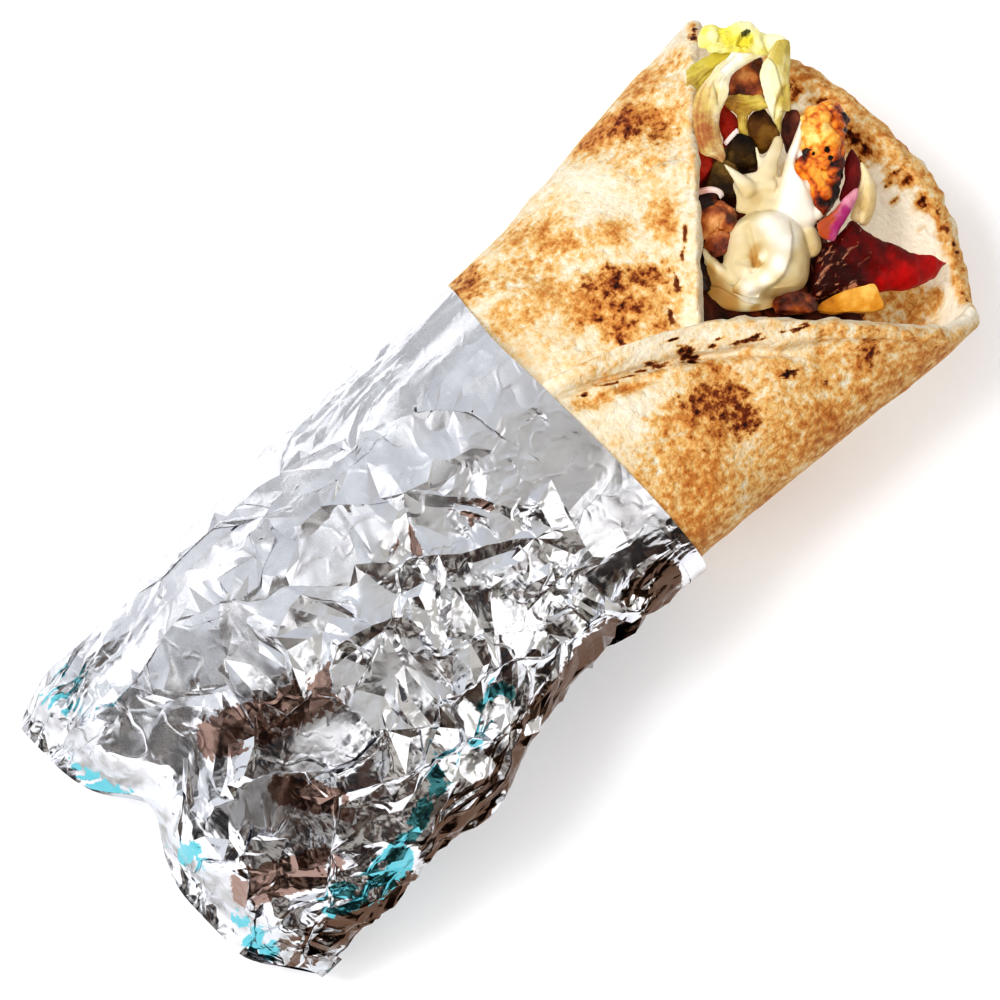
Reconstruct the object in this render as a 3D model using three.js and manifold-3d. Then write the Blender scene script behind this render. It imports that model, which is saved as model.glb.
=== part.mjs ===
// Turkey shawarma: a flatbread rolled round its filling, the lower part wrapped in aluminium foil.
// Millimetres. +X runs along the roll to the open end, +Y to its left, +Z up from the table.
import * as THREE from "three";
import { mergeVertices } from "three/addons/utils/BufferGeometryUtils.js";
import Module from "manifold-3d";

const wasm = await Module();
wasm.setup();

const degrees = THREE.MathUtils.degToRad;

// Driving dimensions
const rollHalfWidth = 37; // to the middle of the bread
const rollFlare = 4; // how much wider it is at the open end
const flareStartX = 25;
const flareEndX = 85;
const rollHeight = 37.5; // bottom layer to left flap, middle to middle
const rollSquareness = 2.4; // 2 is an ellipse
const restDip = 1.5; // how far the round underside is pressed flat
const shoulderX = -52; // where the roll starts to come down to its folded end
const endFall = 1.7; // how late in that stretch most of the height is lost
const breadThickness = 3.2;
const breadTailX = -82;
const flapGap = 0.6; // between the left flap and the right flap that lies on it
const leftFlapEnd = degrees(204);
const rightFlapEnd = degrees(-196);
const rimTipX = 105.5; // the farthest point of the rim
const rimTipY = -8;
const rimHeight = 28;
const rimSideRise = 4; // the rim is this much higher at the sides
const lipStartX = 72; // where the lower bread starts to climb to the rim
const lipPower = 1.7;
const crossingX = 54.6; // where the two flaps' edges cross
const crossingY = -10.8;
const foilWall = 0.6;
const foilGap = 0.9;
const foilMouthX = 16.5;
const foilEndX = -102.5;
const foilEndHeight = 8;
const foilReachLeft = 3.8; // how much farther the foil's mouth reaches at the left
const crumpleDepth = 2.3;
const clearance = 0.35; // left round every piece that touches another

const lerp = THREE.MathUtils.lerp;
const ramp = THREE.MathUtils.smoothstep; // ramp(value, from, to)
const signedPower = (value, power) => Math.sign(value) * Math.abs(value) ** power;
const bump = (value, centre, spread) => Math.exp(-(((value - centre) / spread) ** 2));
const at = (x, y, z) => new THREE.Vector3(x, y, z);

const fullTurn = 2 * Math.PI;

// A repeatable run of numbers from 0 to 1
const runFactor = 1664525;
const runStep = 1013904223;
const runSize = 2 ** 32;
function randomRun(seed) {
  let state = seed;
  return () => {
    state = (Math.imul(state, runFactor) + runStep) >>> 0;
    return state / runSize;
  };
}

// Closed geometries made by moving the vertices of a box or a sphere
const weldReach = 1e-4;
function welded(geometry) {
  geometry.deleteAttribute("normal");
  geometry.deleteAttribute("uv");
  return mergeVertices(geometry, weldReach);
}

function movedBox(along, across, through, place) {
  const geometry = new THREE.BoxGeometry(1, 1, 1, along, across, through);
  const position = geometry.getAttribute("position");
  for (let i = 0; i < position.count; i++) {
    const p = place(position.getX(i) + 0.5, position.getY(i) + 0.5, position.getZ(i));
    position.setXYZ(i, p.x, p.y, p.z);
  }
  return welded(geometry);
}

function movedSphere(columns, rows, place) {
  const geometry = new THREE.SphereGeometry(1, columns, rows);
  const position = geometry.getAttribute("position");
  for (let i = 0; i < position.count; i++) {
    const row = Math.floor(i / (columns + 1));
    const column = row === 0 || row === rows ? 0 : i % (columns + 1) % columns;
    const p = place(column / columns, row / rows, column, row);
    position.setXYZ(i, p.x, p.y, p.z);
  }
  return welded(geometry);
}

// Geometry to solid and back, with the faces turned to point out
function solidOf(geometry) {
  const index = new Uint32Array(geometry.index.array);
  const corner = (i) => new THREE.Vector3().fromBufferAttribute(geometry.attributes.position, index[i]);
  let volume = 0;
  for (let i = 0; i < index.length; i += 3) {
    volume += corner(i).dot(corner(i + 1).cross(corner(i + 2)));
  }
  if (volume < 0) {
    for (let i = 0; i < index.length; i += 3) {
      [index[i + 1], index[i + 2]] = [index[i + 2], index[i + 1]];
    }
  }
  const vertProperties = geometry.attributes.position.array;
  return new wasm.Manifold(new wasm.Mesh({ numProp: 3, vertProperties, triVerts: index }));
}

function geometryOf(solid) {
  const mesh = solid.getMesh();
  const geometry = new THREE.BufferGeometry();
  geometry.setAttribute("position", new THREE.BufferAttribute(mesh.vertProperties, mesh.numProp));
  geometry.setIndex(new THREE.BufferAttribute(mesh.triVerts, 1));
  return geometry;
}

const largestPiece = (solid) =>
  solid.decompose().reduce((best, piece) => (piece.volume() > best.volume() ? piece : best));

// The folded end of the foil: two ears with a notch between them
const endNotch = { y: 7, depth: 8.5, spread: 9 };
const rightCorner = { from: 26, to: 42, depth: 8.5 };
const leftCorner = { from: 37, to: 43, depth: 5 };
function foilEndOf(y) {
  const notch = endNotch.depth * bump(y, endNotch.y, endNotch.spread);
  const right = rightCorner.depth * ramp(-y, rightCorner.from, rightCorner.to);
  const left = leftCorner.depth * ramp(y, leftCorner.from, leftCorner.to);
  return foilEndX + notch + right + left;
}

// The right side is drawn in under the foil and, less, at the free part of the bread
const freeWaist = { depth: 2.2, from: 62, to: 86, share: 0.5 };
const foilWaist = { depth: 4.8, x: -10, spread: 23 };
const endSwell = { depth: 1.6, x: -46, spread: 12 };
function rightWaist(x) {
  const free = freeWaist.depth * (1 - freeWaist.share * ramp(x, freeWaist.from, freeWaist.to));
  const drawn = foilWaist.depth * bump(x, foilWaist.x, foilWaist.spread);
  return free + drawn - endSwell.depth * bump(x, endSwell.x, endSwell.spread);
}

// The roll's cross-section: angle 0 is the underside, 90 degrees the left side, 180 the top.
// Toward the folded end it gets lower and follows the ears.
function rollPoint(angle, x, outward, floor) {
  const toEnd = THREE.MathUtils.clamp((shoulderX - x) / (shoulderX - foilEndX), 0, 1);
  const height = lerp(rollHeight, foilEndHeight, toEnd ** endFall);
  const sideways = signedPower(Math.sin(angle), 2 / rollSquareness);
  const flare = rollFlare * ramp(x, flareStartX, flareEndX);
  const halfWidth = rollHalfWidth + flare - (sideways < 0 ? rightWaist(x) : toEnd);
  const down = signedPower(Math.cos(angle), 2 / rollSquareness);
  const z = floor + height / 2 - (height / 2 + outward + (down > 0 ? restDip : 0)) * down;
  const y = (halfWidth + outward) * sideways;
  const shift = (foilEndOf(y) - foilEndX) * toEnd ** 2;
  return at(x + shift, y, Math.max(z, floor - outward));
}

// Inside the foil the bread stands on the foil, and past its mouth it comes down to the table
const landing = { from: 20, to: 42 };
function breadFloor(x) {
  return breadThickness / 2 + lerp(foilGap + foilWall, 0, ramp(x, landing.from, landing.to));
}

// The right flap climbs over the left flap by the bread's thickness
const climbStart = degrees(68);
const climbEnd = degrees(128);
function overlapRise(angle) {
  return (breadThickness + flapGap) * (angle < 0 ? ramp(-angle, climbStart, climbEnd) : 0);
}

// How far the bread reaches along X: the rim below, the two flaps' slanted edges above
const rimLeft = { reach: 48, back: 10, power: 3.5 };
const rimRight = { reach: 34, back: 15 };
function rimEdge(y) {
  if (y > rimTipY) return rimTipX - rimLeft.back * ((y - rimTipY) / rimLeft.reach) ** rimLeft.power;
  return rimTipX - rimRight.back * ((rimTipY - y) / rimRight.reach) ** 2;
}

const leftEdge = { x: 52.9, slope: 0.971, bend: 2.6, reach: 41 };
function leftFlapEdge(y) {
  return leftEdge.x + leftEdge.slope * y + leftEdge.bend * Math.max(0, y / leftEdge.reach) ** 4;
}

const rightEdge = { slope: 1.1, bend: 0.058 };
function rightFlapEdge(y) {
  const past = y - crossingY;
  return crossingX - rightEdge.slope * past - rightEdge.bend * Math.max(0, past) ** 2;
}

const rimMiddleX = 92;
const flapMiddleX = 60;
const flapStart = degrees(86);
const flapFull = degrees(116);
const edgePasses = 4; // the edge's x hangs on y and y on x, so it is closed in on
function breadEdgeX(angle) {
  const rim = rimEdge(rollPoint(angle, rimMiddleX, 0, 0).y);
  const flapEdge = angle > 0 ? leftFlapEdge : rightFlapEdge;
  let flap = flapMiddleX;
  for (let pass = 0; pass < edgePasses; pass++) {
    flap = flapEdge(rollPoint(angle, flap, 0, 0).y);
  }
  return lerp(rim, flap, ramp(Math.abs(angle), flapStart, flapFull));
}

// Middle surface of the bread. along is 0 at the hidden tail and 1 at the edge.
const upperStart = degrees(80);
const upperFull = degrees(125);
const freeStretch = 14; // past the foil's mouth, before the bread is fully free
const edgeLift = { height: 1.6, reach: 7 }; // the flaps' edges lift a little
const edgeGroove = { depth: 1.5, behind: 9, spread: 2.6 }; // behind the right flap's thick edge
const leftDent = { depth: 1.8, x: 74, xSpread: 4, y: 29, ySpread: 7 };
const swell = { height: 0.5, byX: 0.31, byY: 0.12, acrossY: 0.23, start: -0.6 };
function breadMiddle(angle, along) {
  const edgeX = breadEdgeX(angle);
  const x = lerp(breadTailX, edgeX, along);
  const p = rollPoint(angle, x, overlapRise(angle), breadFloor(x));
  const lip = Math.max(0, (x - lipStartX) / (rimTipX - lipStartX)) ** lipPower;
  const lower = 1 - ramp(Math.abs(angle), upperStart, upperFull);
  const rimZ = rimHeight + rimSideRise * Math.sin(angle) ** 2;
  p.z += (rimZ - p.z) * Math.min(1, lip) * lower;
  const upper = 1 - lower;
  const fromEdge = edgeX - x;
  const free = upper * ramp(x, foilMouthX, foilMouthX + freeStretch);
  p.z += free * edgeLift.height * Math.exp(-fromEdge / edgeLift.reach);
  if (angle < 0) p.z -= upper * edgeGroove.depth * bump(fromEdge, edgeGroove.behind, edgeGroove.spread);
  const dent = bump(p.x, leftDent.x, leftDent.xSpread) * bump(p.y, leftDent.y, leftDent.ySpread);
  if (angle > 0) p.z -= upper * leftDent.depth * dent;
  const wave = Math.sin(p.x * swell.byX + p.y * swell.byY) * Math.sin(p.y * swell.acrossY + swell.start);
  p.z += free * swell.height * wave;
  return p;
}

const normalStep = 1e-3;
function breadNormal(angle, along) {
  const before = breadMiddle(angle - normalStep, along);
  const across = breadMiddle(angle + normalStep, along).sub(before);
  const below = breadMiddle(angle, along - normalStep);
  const down = breadMiddle(angle, along + normalStep).sub(below);
  return across.cross(down).normalize();
}

const edgeRound = 0.42 * breadThickness;
const edgeBead = { share: 0.22, reach: 4 / 180 }; // the edge is a little thicker
function flatbread(grow) {
  const columns = 44;
  const rows = 17;
  const hiddenRows = 4;
  const hiddenShare = 0.52;
  const rowSpread = 0.85;
  return movedBox(columns, rows, 2, (u, v, w) => {
    const angle = lerp(rightFlapEnd, leftFlapEnd, u);
    const row = v * rows;
    const shown = (row - hiddenRows) / (rows - hiddenRows);
    const along =
      row < hiddenRows ? (hiddenShare * row) / hiddenRows : lerp(hiddenShare, 1, shown ** rowSpread);
    const bead = 1 + edgeBead.share * Math.exp((along - 1) / edgeBead.reach);
    const thickness = breadThickness * bead + 2 * grow;
    const p = breadMiddle(angle, along).addScaledVector(breadNormal(angle, along), w * thickness);
    const round = (w === 0 ? edgeRound : 0) + grow;
    if (v === 1) p.x += round;
    if (v === 0) p.x -= round;
    const sideways = u === 0 ? 1 : u === 1 ? -1 : 0;
    if (sideways) p.y += sideways * round;
    return p;
  });
}

// Foil: a thin cup round the roll, crumpled outside, closed at its folded end
const leftReach = { from: 18, to: 40, length: 40 };
function foilPoint(angle, x, outward) {
  const overFlap = (breadThickness + flapGap) * foilRise(angle);
  const clear = outward + breadThickness / 2 + foilGap + overFlap;
  const p = rollPoint(angle, x, clear, foilWall + foilGap + breadThickness / 2);
  const nearMouth = ramp(x, foilMouthX - leftReach.length, foilMouthX);
  p.x += foilReachLeft * ramp(p.y, leftReach.from, leftReach.to) * nearMouth;
  return p;
}

// Where the foil has to pass over the right flap, in radians from the underside
const rightRise = { from: 1, to: 1.95 };
const topRise = { from: 2.3, to: 2.72 };
function foilRise(angle) {
  const turn = angle > Math.PI ? angle - fullTurn : angle;
  return Math.max(ramp(-turn, rightRise.from, rightRise.to), ramp(turn, topRise.from, topRise.to));
}

const foldTip = { y: 7, back: 0.5, height: 0.7 };
const calmStretch = { from: 1, to: 16 }; // the foil lies smooth this near its mouth
const slipAlong = 0.7; // how far a corner may slip, as a share of its cell
const slipAround = 0.6;
function foilWrap() {
  const columns = 36;
  const outerRows = 22;
  const innerRows = 11;
  const innerSpread = 1.25;
  const outerSpread = 0.92;
  const rows = outerRows + innerRows;
  const innerEndX = breadTailX - 4;
  const random = randomRun(11);
  const dent = Array.from({ length: outerRows * columns }, () => [random(), random(), random()]);
  return movedSphere(columns, rows, (u, v, column, row) => {
    const angle = u * fullTurn;
    const tipY = foldTip.y;
    if (row === 0) return at(foilEndOf(tipY) - foldTip.back, tipY, foilEndHeight * foldTip.height);
    if (row === rows) return rollPoint(0, innerEndX, 0, foilEndHeight).setY(tipY);
    if (row > outerRows) {
      const along = (rows - 1 - row) / (innerRows - 2);
      return foilPoint(angle, lerp(innerEndX, foilMouthX, along ** innerSpread), 0);
    }
    const along = (row - 1) / (outerRows - 1);
    const x = lerp(foilEndX, foilMouthX, along ** outerSpread);
    const loose = ramp(foilMouthX - x, calmStretch.from, calmStretch.to);
    const [depth, slipX, slipAngle] = row < outerRows ? dent[row * columns + column] : [0, 0, 0];
    const step = (foilMouthX - foilEndX) / outerRows;
    const slide = (slipX - 0.5) * slipAlong * step * loose;
    const turn = (slipAngle - 0.5) * slipAround * (fullTurn / columns) * loose;
    const outward = foilWall + depth * crumpleDepth * loose;
    const p = foilPoint(angle + turn, Math.max(x + slide, foilEndX), outward);
    p.z = Math.max(p.z, 0);
    return p;
  });
}

// A chunk that follows a path: rings of the given width and height with rounded ends
function chunk(points, width, height, options = {}) {
  const { columns = 10, rows = 8, square = 2.4, blunt = 3, up = at(0, 0, 1), lumps = 0, seed = 5 } = options;
  const path = new THREE.CatmullRomCurve3(points);
  return (grow) => {
    const random = randomRun(seed);
    const lump = Array.from({ length: (rows + 1) * columns }, () => 1 + (random() - 0.5) * lumps);
    return movedSphere(columns, rows, (u, v, column, row) => {
      const share = 0.5 - 0.5 * Math.cos(v * Math.PI);
      const centre = path.getPoint(share);
      const tangent = path.getTangent(share);
      const side = up.clone().cross(tangent).normalize();
      const over = tangent.clone().cross(side);
      const ends = (1 - Math.abs(2 * share - 1) ** blunt) ** (1 / blunt);
      const angle = u * fullTurn;
      const size = row === 0 || row === rows ? 0 : ends * lump[row * columns + column];
      const margin = size ? grow : 0;
      const reach = (value, extent) => signedPower(value, 2 / square) * ((extent * size) / 2 + margin);
      centre.addScaledVector(tangent, grow * Math.sign(2 * share - 1) * (1 - ends));
      centre.addScaledVector(side, reach(Math.cos(angle), width(share)));
      return centre.addScaledVector(over, reach(Math.sin(angle), height(share)));
    });
  };
}

// A thin strip that follows a path, with a wavy edge and a curl across
const secondEdgePhase = 1.6; // so that a strip's two edges don't wave together
function leaf(points, width, options = {}) {
  const { along = 14, across = 4, thickness = 0.9, up = at(0, 0, 1) } = options;
  const { wave = 0, waves = 3, curl = 0, twist = 0 } = options;
  const path = new THREE.CatmullRomCurve3(points);
  return (grow) =>
    movedBox(along, across, 1, (u, v, w) => {
      const centre = path.getPoint(u);
      const tangent = path.getTangent(u);
      const level = up.clone().cross(tangent).normalize().applyAxisAngle(tangent, twist * (u - 0.5));
      const over = tangent.clone().cross(level);
      const sideways = (v - 0.5) * (width(u) + 2 * grow);
      const edge = (2 * v - 1) ** 2;
      const phase = waves * fullTurn * u + (v > 0.5 ? secondEdgePhase : 0);
      const ripple = wave * edge * Math.sin(phase);
      centre.addScaledVector(tangent, grow * (u === 0 ? -1 : u === 1 ? 1 : 0));
      centre.addScaledVector(level, sideways);
      return centre.addScaledVector(over, ripple + curl * edge + w * (thickness + 2 * grow));
    });
}

// Steady, tapering, pointed and leaf-like widths along a path
const steady = (size) => () => size;
const taper = (start, end) => (share) => lerp(start, end, share);
function pointed(start, end, from, least) {
  return (share) => lerp(start, end, share) * lerp(1, least, ramp(share, from, 1));
}
const petalFullness = 0.8;
function petal(size, least = 0.35) {
  return (share) => size * lerp(least, 1, Math.sin(Math.PI * share) ** petalFullness);
}

// Garlic sauce: a spooned dollop with a swirl, running up the turkey strip
const dollop = {
  centre: at(65.6, -4.4, 31),
  radius: 10.6,
  height: 13.5,
  below: 3.5,
  spread: 0.8,
  fullness: 0.7,
};
const lobes = [
  { count: 3, size: 0.05, start: 0.6 },
  { count: 5, size: 0.04, start: 0 },
];
const swirl = { height: 1.3, winding: 5.2, start: 0.5 };
const dimple = { depth: 2.6, spread: 0.34 };
const dollopSkin = 1.4; // its slanted sides need more than the plain clearance
const dollopCrest = 6;
function sauceDollop(grow) {
  const columns = 22;
  const rows = 10;
  return movedSphere(columns, rows, (u, v) => {
    const angle = u * fullTurn;
    const flat = Math.sin(v * Math.PI);
    const steep = Math.cos(v * Math.PI);
    const upper = v < 0.5 ? 1 : 0;
    const bulge = (lobe) => lobe.size * Math.sin(lobe.count * angle + lobe.start);
    const lobed = lobes.reduce((sum, lobe) => sum + bulge(lobe), 1);
    const turned = Math.sin(angle - swirl.winding * flat + swirl.start) * flat * upper;
    const dip = dimple.depth * bump(flat, 0, dimple.spread) * upper;
    const out = dollop.radius * flat ** dollop.spread * lobed + dollopSkin * grow * flat;
    const crest = dollop.height * Math.max(steep, 0) ** dollop.fullness - dip + swirl.height * turned;
    const rise = steep > 0 ? crest : dollop.below * steep;
    return at(
      dollop.centre.x + out * Math.cos(angle),
      dollop.centre.y + out * Math.sin(angle),
      dollop.centre.z + rise + grow * Math.tanh(dollopCrest * steep),
    );
  });
}
const sauceRuns = [
  chunk(
    [at(72, 1, 34), at(79, 1.5, 36), at(86, 4.5, 38), at(95, 10.5, 38)],
    taper(10, 3),
    taper(8, 2.5),
  ),
  chunk([at(71, 6, 33), at(77, 8.5, 35), at(82, 10, 36)], taper(8, 2.4), taper(6, 2.4)),
  chunk([at(80, 7, 34), at(86, 10, 36.5)], taper(5, 2), taper(5, 2), { rows: 6 }),
  chunk([at(71, -4, 34), at(75.5, -7, 35), at(79.5, -10.5, 33.6)], taper(8, 5), taper(7, 4.4), {
    rows: 6,
  }),
];
function garlicSauce(grow) {
  const [first, ...others] = [sauceDollop, ...sauceRuns].map((part) => solidOf(part(grow)));
  return geometryOf(others.reduce((joined, part) => joined.add(part), first));
}

// The rest of the filling: one packed core from the tail to the open end
const core = { tailX: breadTailX + 1, frontX: 84, tailY: 0, tailZ: 15, tipY: 4, tipZ: 17 };
const coreGap = 1;
const coreLump = 0.9; // how uneven the front is
const coreNarrowing = { slow: 1.2, steep: 7, power: 6 };
const coreFall = { above: 12, slow: 0.1, steep: 0.5, power: 5 };
const coreSlant = { perY: 0.26, right: 3, from: 5, to: 30 };
const coreRise = { height: 14, fromX: 66, below: 20 }; // its front clears the rising bread
const looseFromX = 50;
function fillingCore(grow) {
  const columns = 22;
  const rows = 13;
  const rowSpread = 0.7;
  const random = randomRun(23);
  const lump = Array.from({ length: (rows + 1) * columns }, random);
  return movedSphere(columns, rows, (u, v, column, row) => {
    const angle = u * fullTurn;
    if (row === 0) return at(breadTailX + 6, core.tailY, core.tailZ);
    if (row === rows) return at(core.frontX + 1, core.tipY, core.tipZ);
    const share = (row - 1) / (rows - 2);
    const x = lerp(core.tailX, core.frontX, share ** rowSpread);
    const front = Math.max(0, (x - looseFromX) / (core.frontX - looseFromX));
    const bumps = coreLump * front * lump[row * columns + column];
    const narrowed = coreNarrowing.slow * front + coreNarrowing.steep * front ** coreNarrowing.power;
    const p = rollPoint(angle, x, grow - breadThickness / 2 - coreGap - narrowed - bumps, breadFloor(x));
    const fall = coreFall.slow * front + coreFall.steep * front ** coreFall.power;
    p.z -= Math.max(0, p.z - coreFall.above) * fall;
    p.x += front * (coreSlant.perY * p.y - coreSlant.right * ramp(-p.y, coreSlant.from, coreSlant.to));
    const risen = Math.max(0, (x - coreRise.fromX) / (core.frontX - coreRise.fromX)) ** 2;
    p.z += coreRise.height * risen * Math.max(0, 1 - p.z / coreRise.below);
    return p;
  });
}

// Every piece with its colour. A piece that comes later gives way to the ones before it.
const pieces = [
  ["turkey_strip", 0xd98a2e, 0.45, chunk(
    [at(99.5, 10.5, 36), at(94.5, 5.5, 38), at(89, -1, 37.5), at(84.5, -6.5, 34)],
    taper(11.2, 9.6), taper(8.4, 7), { columns: 14, rows: 14, square: 2.6, lumps: 0.14 })],
  ["garlic_sauce", 0xf3ead6, 0.3, garlicSauce],
  ["onion_strip_pink", 0xb5447a, 0.3, leaf(
    [at(90.5, -7.2, 34.6), at(87, -8.8, 36.6), at(82.5, -9.6, 37.6), at(79, -9.4, 37.8)],
    taper(1.8, 4.2), { thickness: 1.3, curl: -0.5, twist: 0.5, along: 9, across: 2 })],
  ["onion_slice_dark", 0x6b1d2a, 0.3, leaf(
    [at(97.5, -0.8, 32.5), at(94.5, -3.6, 34), at(90.5, -6.4, 33.4), at(86, -9.5, 31.5)],
    petal(6.4), { thickness: 1.8, up: at(0.4, 0.8, 0.3), along: 9, across: 3 })],
  ["onion_petal_white", 0xe6d9a8, 0.3, leaf(
    [at(98.5, -4.2, 30.5), at(95.5, -7.8, 32), at(91.5, -10, 31.5), at(87.5, -11.6, 29.5)],
    petal(6.2), { thickness: 1.1, up: at(0.3, 0.5, 0.7), curl: -1.1, along: 9, across: 4 })],
  ["red_pepper_strip", 0xa3160f, 0.25, chunk(
    [at(71, -10, 30.5), at(79, -15.5, 31), at(88, -22, 29.5), at(97, -30.5, 24.5)],
    pointed(13.5, 13, 0.62, 0.3), taper(6, 3), { rows: 14, lumps: 0.08 })],
  ["yellow_pepper", 0xd9a11e, 0.25, chunk(
    [at(68.5, -18.5, 30), at(73.5, -22.5, 31), at(79, -27.5, 30)],
    steady(6.5), steady(3.4), { square: 4, blunt: 6, rows: 7 })],
  ["lettuce_crown", 0xe8dd62, 0.35, leaf(
    [at(88, 36, 39), at(91.5, 31.5, 41.5), at(95, 28.5, 42.5), at(98, 24.5, 41.5), at(100.5, 20.5, 39.5)],
    petal(9, 0.6), { wave: 1.5, waves: 2.5, curl: -1.2, up: at(0.3, 0.15, 1) })],
  ["lettuce_strand_left", 0xe3d58c, 0.35, leaf(
    [at(93.5, 27.5, 40.5), at(87.5, 28.5, 40), at(82.5, 27.5, 38.8), at(79, 23, 38.4), at(78.5, 17, 38)],
    taper(5.6, 5), { wave: 0.4, curl: 0.7 })],
  ["lettuce_strand_right", 0xe9e0a0, 0.35, leaf(
    [at(100.5, 19.5, 40.5), at(95.5, 21, 39.4), at(92, 18.4, 38.6), at(90, 14.5, 37), at(89.4, 12.4, 33.5)],
    petal(5.4), { wave: 0.5, curl: 0.6, twist: 1.3 })],
  ["tomato_slice_upper", 0x9c2a12, 0.25, chunk(
    [at(81, 23.5, 34), at(83.5, 20, 35.5), at(85, 17, 34)],
    petal(7), steady(4.6), { square: 3, rows: 7 })],
  ["tomato_slice_lower", 0xa93216, 0.25, chunk(
    [at(76, 20, 35.5), at(72.5, 16.5, 36), at(68.5, 13, 34.5)],
    petal(6.4, 0.5), steady(4.4), { square: 3, rows: 7 })],
  ["onion_sliver", 0xc98d75, 0.3, leaf(
    [at(69.5, 12, 37.6), at(72.5, 11.6, 38.6), at(75, 9, 38.4)],
    petal(2.2), { thickness: 1.1, curl: 0.3, along: 7, across: 2 })],
  ["pickle_upper", 0x5d4a12, 0.3, chunk(
    [at(90, 17.5, 32.5), at(86.5, 15, 33.5), at(84, 12.5, 32)],
    steady(7), steady(5), { square: 3.4, rows: 7 })],
  ["pickle_middle", 0x3e3a10, 0.3, chunk(
    [at(82.5, 16.5, 33), at(79.5, 14.5, 34.2), at(77, 11.5, 33)],
    steady(7), steady(5.6), { square: 3, rows: 7 })],
  ["pickle_lower", 0x574a1c, 0.3, chunk(
    [at(76, 16.5, 32.5), at(73, 13.5, 34.5), at(71, 9.5, 33.5)],
    steady(6.4), steady(5.6), { square: 3, rows: 7 })],
  ["onion_slice_brown", 0x5a2c1e, 0.35, chunk(
    [at(97, 14.5, 32), at(92.5, 10.5, 33.5), at(88, 6.5, 32)],
    steady(5), steady(6.4), { square: 3.4, rows: 7, blunt: 5 })],
  ["turkey_curl", 0xa8531d, 0.45, chunk(
    [at(61, 5, 34), at(64.5, 8.2, 36.6), at(69, 8.4, 37), at(71.5, 6, 35)],
    steady(5), steady(5.2), { rows: 10, lumps: 0.15 })],
  ["lettuce_leaf_low", 0xc9bb3a, 0.35, leaf(
    [at(90.5, 33.5, 35), at(86, 31.5, 36), at(82, 28.5, 35.5), at(79.5, 24.5, 34)],
    petal(8.5, 0.5), { wave: 0.8, curl: 0.8 })],
  ["lettuce_leaf_inner", 0xd6c94e, 0.35, leaf(
    [at(84.5, 26, 34), at(88.5, 23, 35.4), at(92.5, 19.5, 34.6), at(95, 15.5, 32)],
    petal(6.5, 0.5), { wave: 0.6, curl: 0.6 })],
];

const group = new THREE.Group();
function addMesh(name, geometry, colour, roughness, metalness = 0) {
  const material = new THREE.MeshStandardMaterial({ color: colour, roughness, metalness });
  const mesh = new THREE.Mesh(geometry, material);
  mesh.name = name;
  group.add(mesh);
}

// A solid with its neighbours, grown by the clearance, cut out of it
function clearOf(solid, neighbours) {
  const cut = neighbours.reduce(
    (left, other) => (left.intersect(other).volume() > 0 ? left.subtract(other) : left),
    solid,
  );
  return largestPiece(cut);
}

addMesh("flatbread", geometryOf(solidOf(flatbread(0))), 0xe9cfa0, 0.75);
addMesh("foil_wrap", geometryOf(solidOf(foilWrap())), 0xc9ccd0, 0.25, 1);

const placed = [solidOf(flatbread(clearance))];
for (const [name, colour, roughness, make] of pieces) {
  addMesh(name, geometryOf(clearOf(solidOf(make(0)), placed)), colour, roughness);
  placed.push(solidOf(make(clearance)));
}
addMesh("filling_core", geometryOf(clearOf(solidOf(fillingCore(0)), placed)), 0x5b3017, 0.6);

// Origin at the middle of the underside
const box = new THREE.Box3().setFromObject(group);
const middle = box.getCenter(new THREE.Vector3());
group.position.set(-middle.x, -middle.y, -box.min.z);

export default group;
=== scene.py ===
import math
import bmesh
import bpy
import numpy as np
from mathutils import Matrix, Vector


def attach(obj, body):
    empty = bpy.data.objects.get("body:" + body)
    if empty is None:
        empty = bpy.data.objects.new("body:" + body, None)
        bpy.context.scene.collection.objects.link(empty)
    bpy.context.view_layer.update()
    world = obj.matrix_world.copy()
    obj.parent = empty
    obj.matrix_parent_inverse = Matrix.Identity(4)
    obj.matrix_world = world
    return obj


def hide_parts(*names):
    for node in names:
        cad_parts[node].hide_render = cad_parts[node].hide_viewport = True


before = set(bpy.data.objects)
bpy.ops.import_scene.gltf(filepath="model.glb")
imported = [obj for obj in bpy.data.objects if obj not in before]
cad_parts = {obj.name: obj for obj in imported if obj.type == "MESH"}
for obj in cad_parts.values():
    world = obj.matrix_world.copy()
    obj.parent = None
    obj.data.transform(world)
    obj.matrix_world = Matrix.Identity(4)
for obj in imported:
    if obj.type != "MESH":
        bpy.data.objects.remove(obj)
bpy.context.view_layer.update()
print("frame loaded:", len(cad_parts), "nodes")

mm = 0.001
rollZero = np.array([-2.172, 0.548, 0.0])  # the roll's own zero, mm from the frame's origin


# sums that every piece uses, all in mm
def ramp(value, low, high):
    t = np.clip((value - low) / (high - low), 0.0, 1.0)
    return t * t * (3.0 - 2.0 * t)


def between(a, b, t):
    return a + (b - a) * t


def hump(value, centre, spread):
    return np.exp(-(((value - centre) / spread) ** 2))


def powered(value, power):
    return np.sign(value) * np.abs(value) ** power


def drift(points, size, seed):
    # smooth random field from -1 to 1, its lumps about size mm across
    table = np.random.default_rng(seed).random(8192) * 2 - 1
    cell = np.asarray(points) / size
    low = np.floor(cell).astype(np.int64)
    eased = ramp(cell - low, 0, 1)
    total = 0.0
    for corner in np.ndindex(2, 2, 2):
        hashed = np.bitwise_xor.reduce((low + corner) * (73856093, 19349663, 83492791), axis=-1)
        share = np.where(corner, eased, 1 - eased)
        total = total + table[hashed & 8191] * (share[..., 0] * share[..., 1]) * share[..., 2]
    return total


def unit(vectors):
    return vectors / np.maximum(np.linalg.norm(vectors, axis=-1, keepdims=True), 1e-12)


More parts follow.
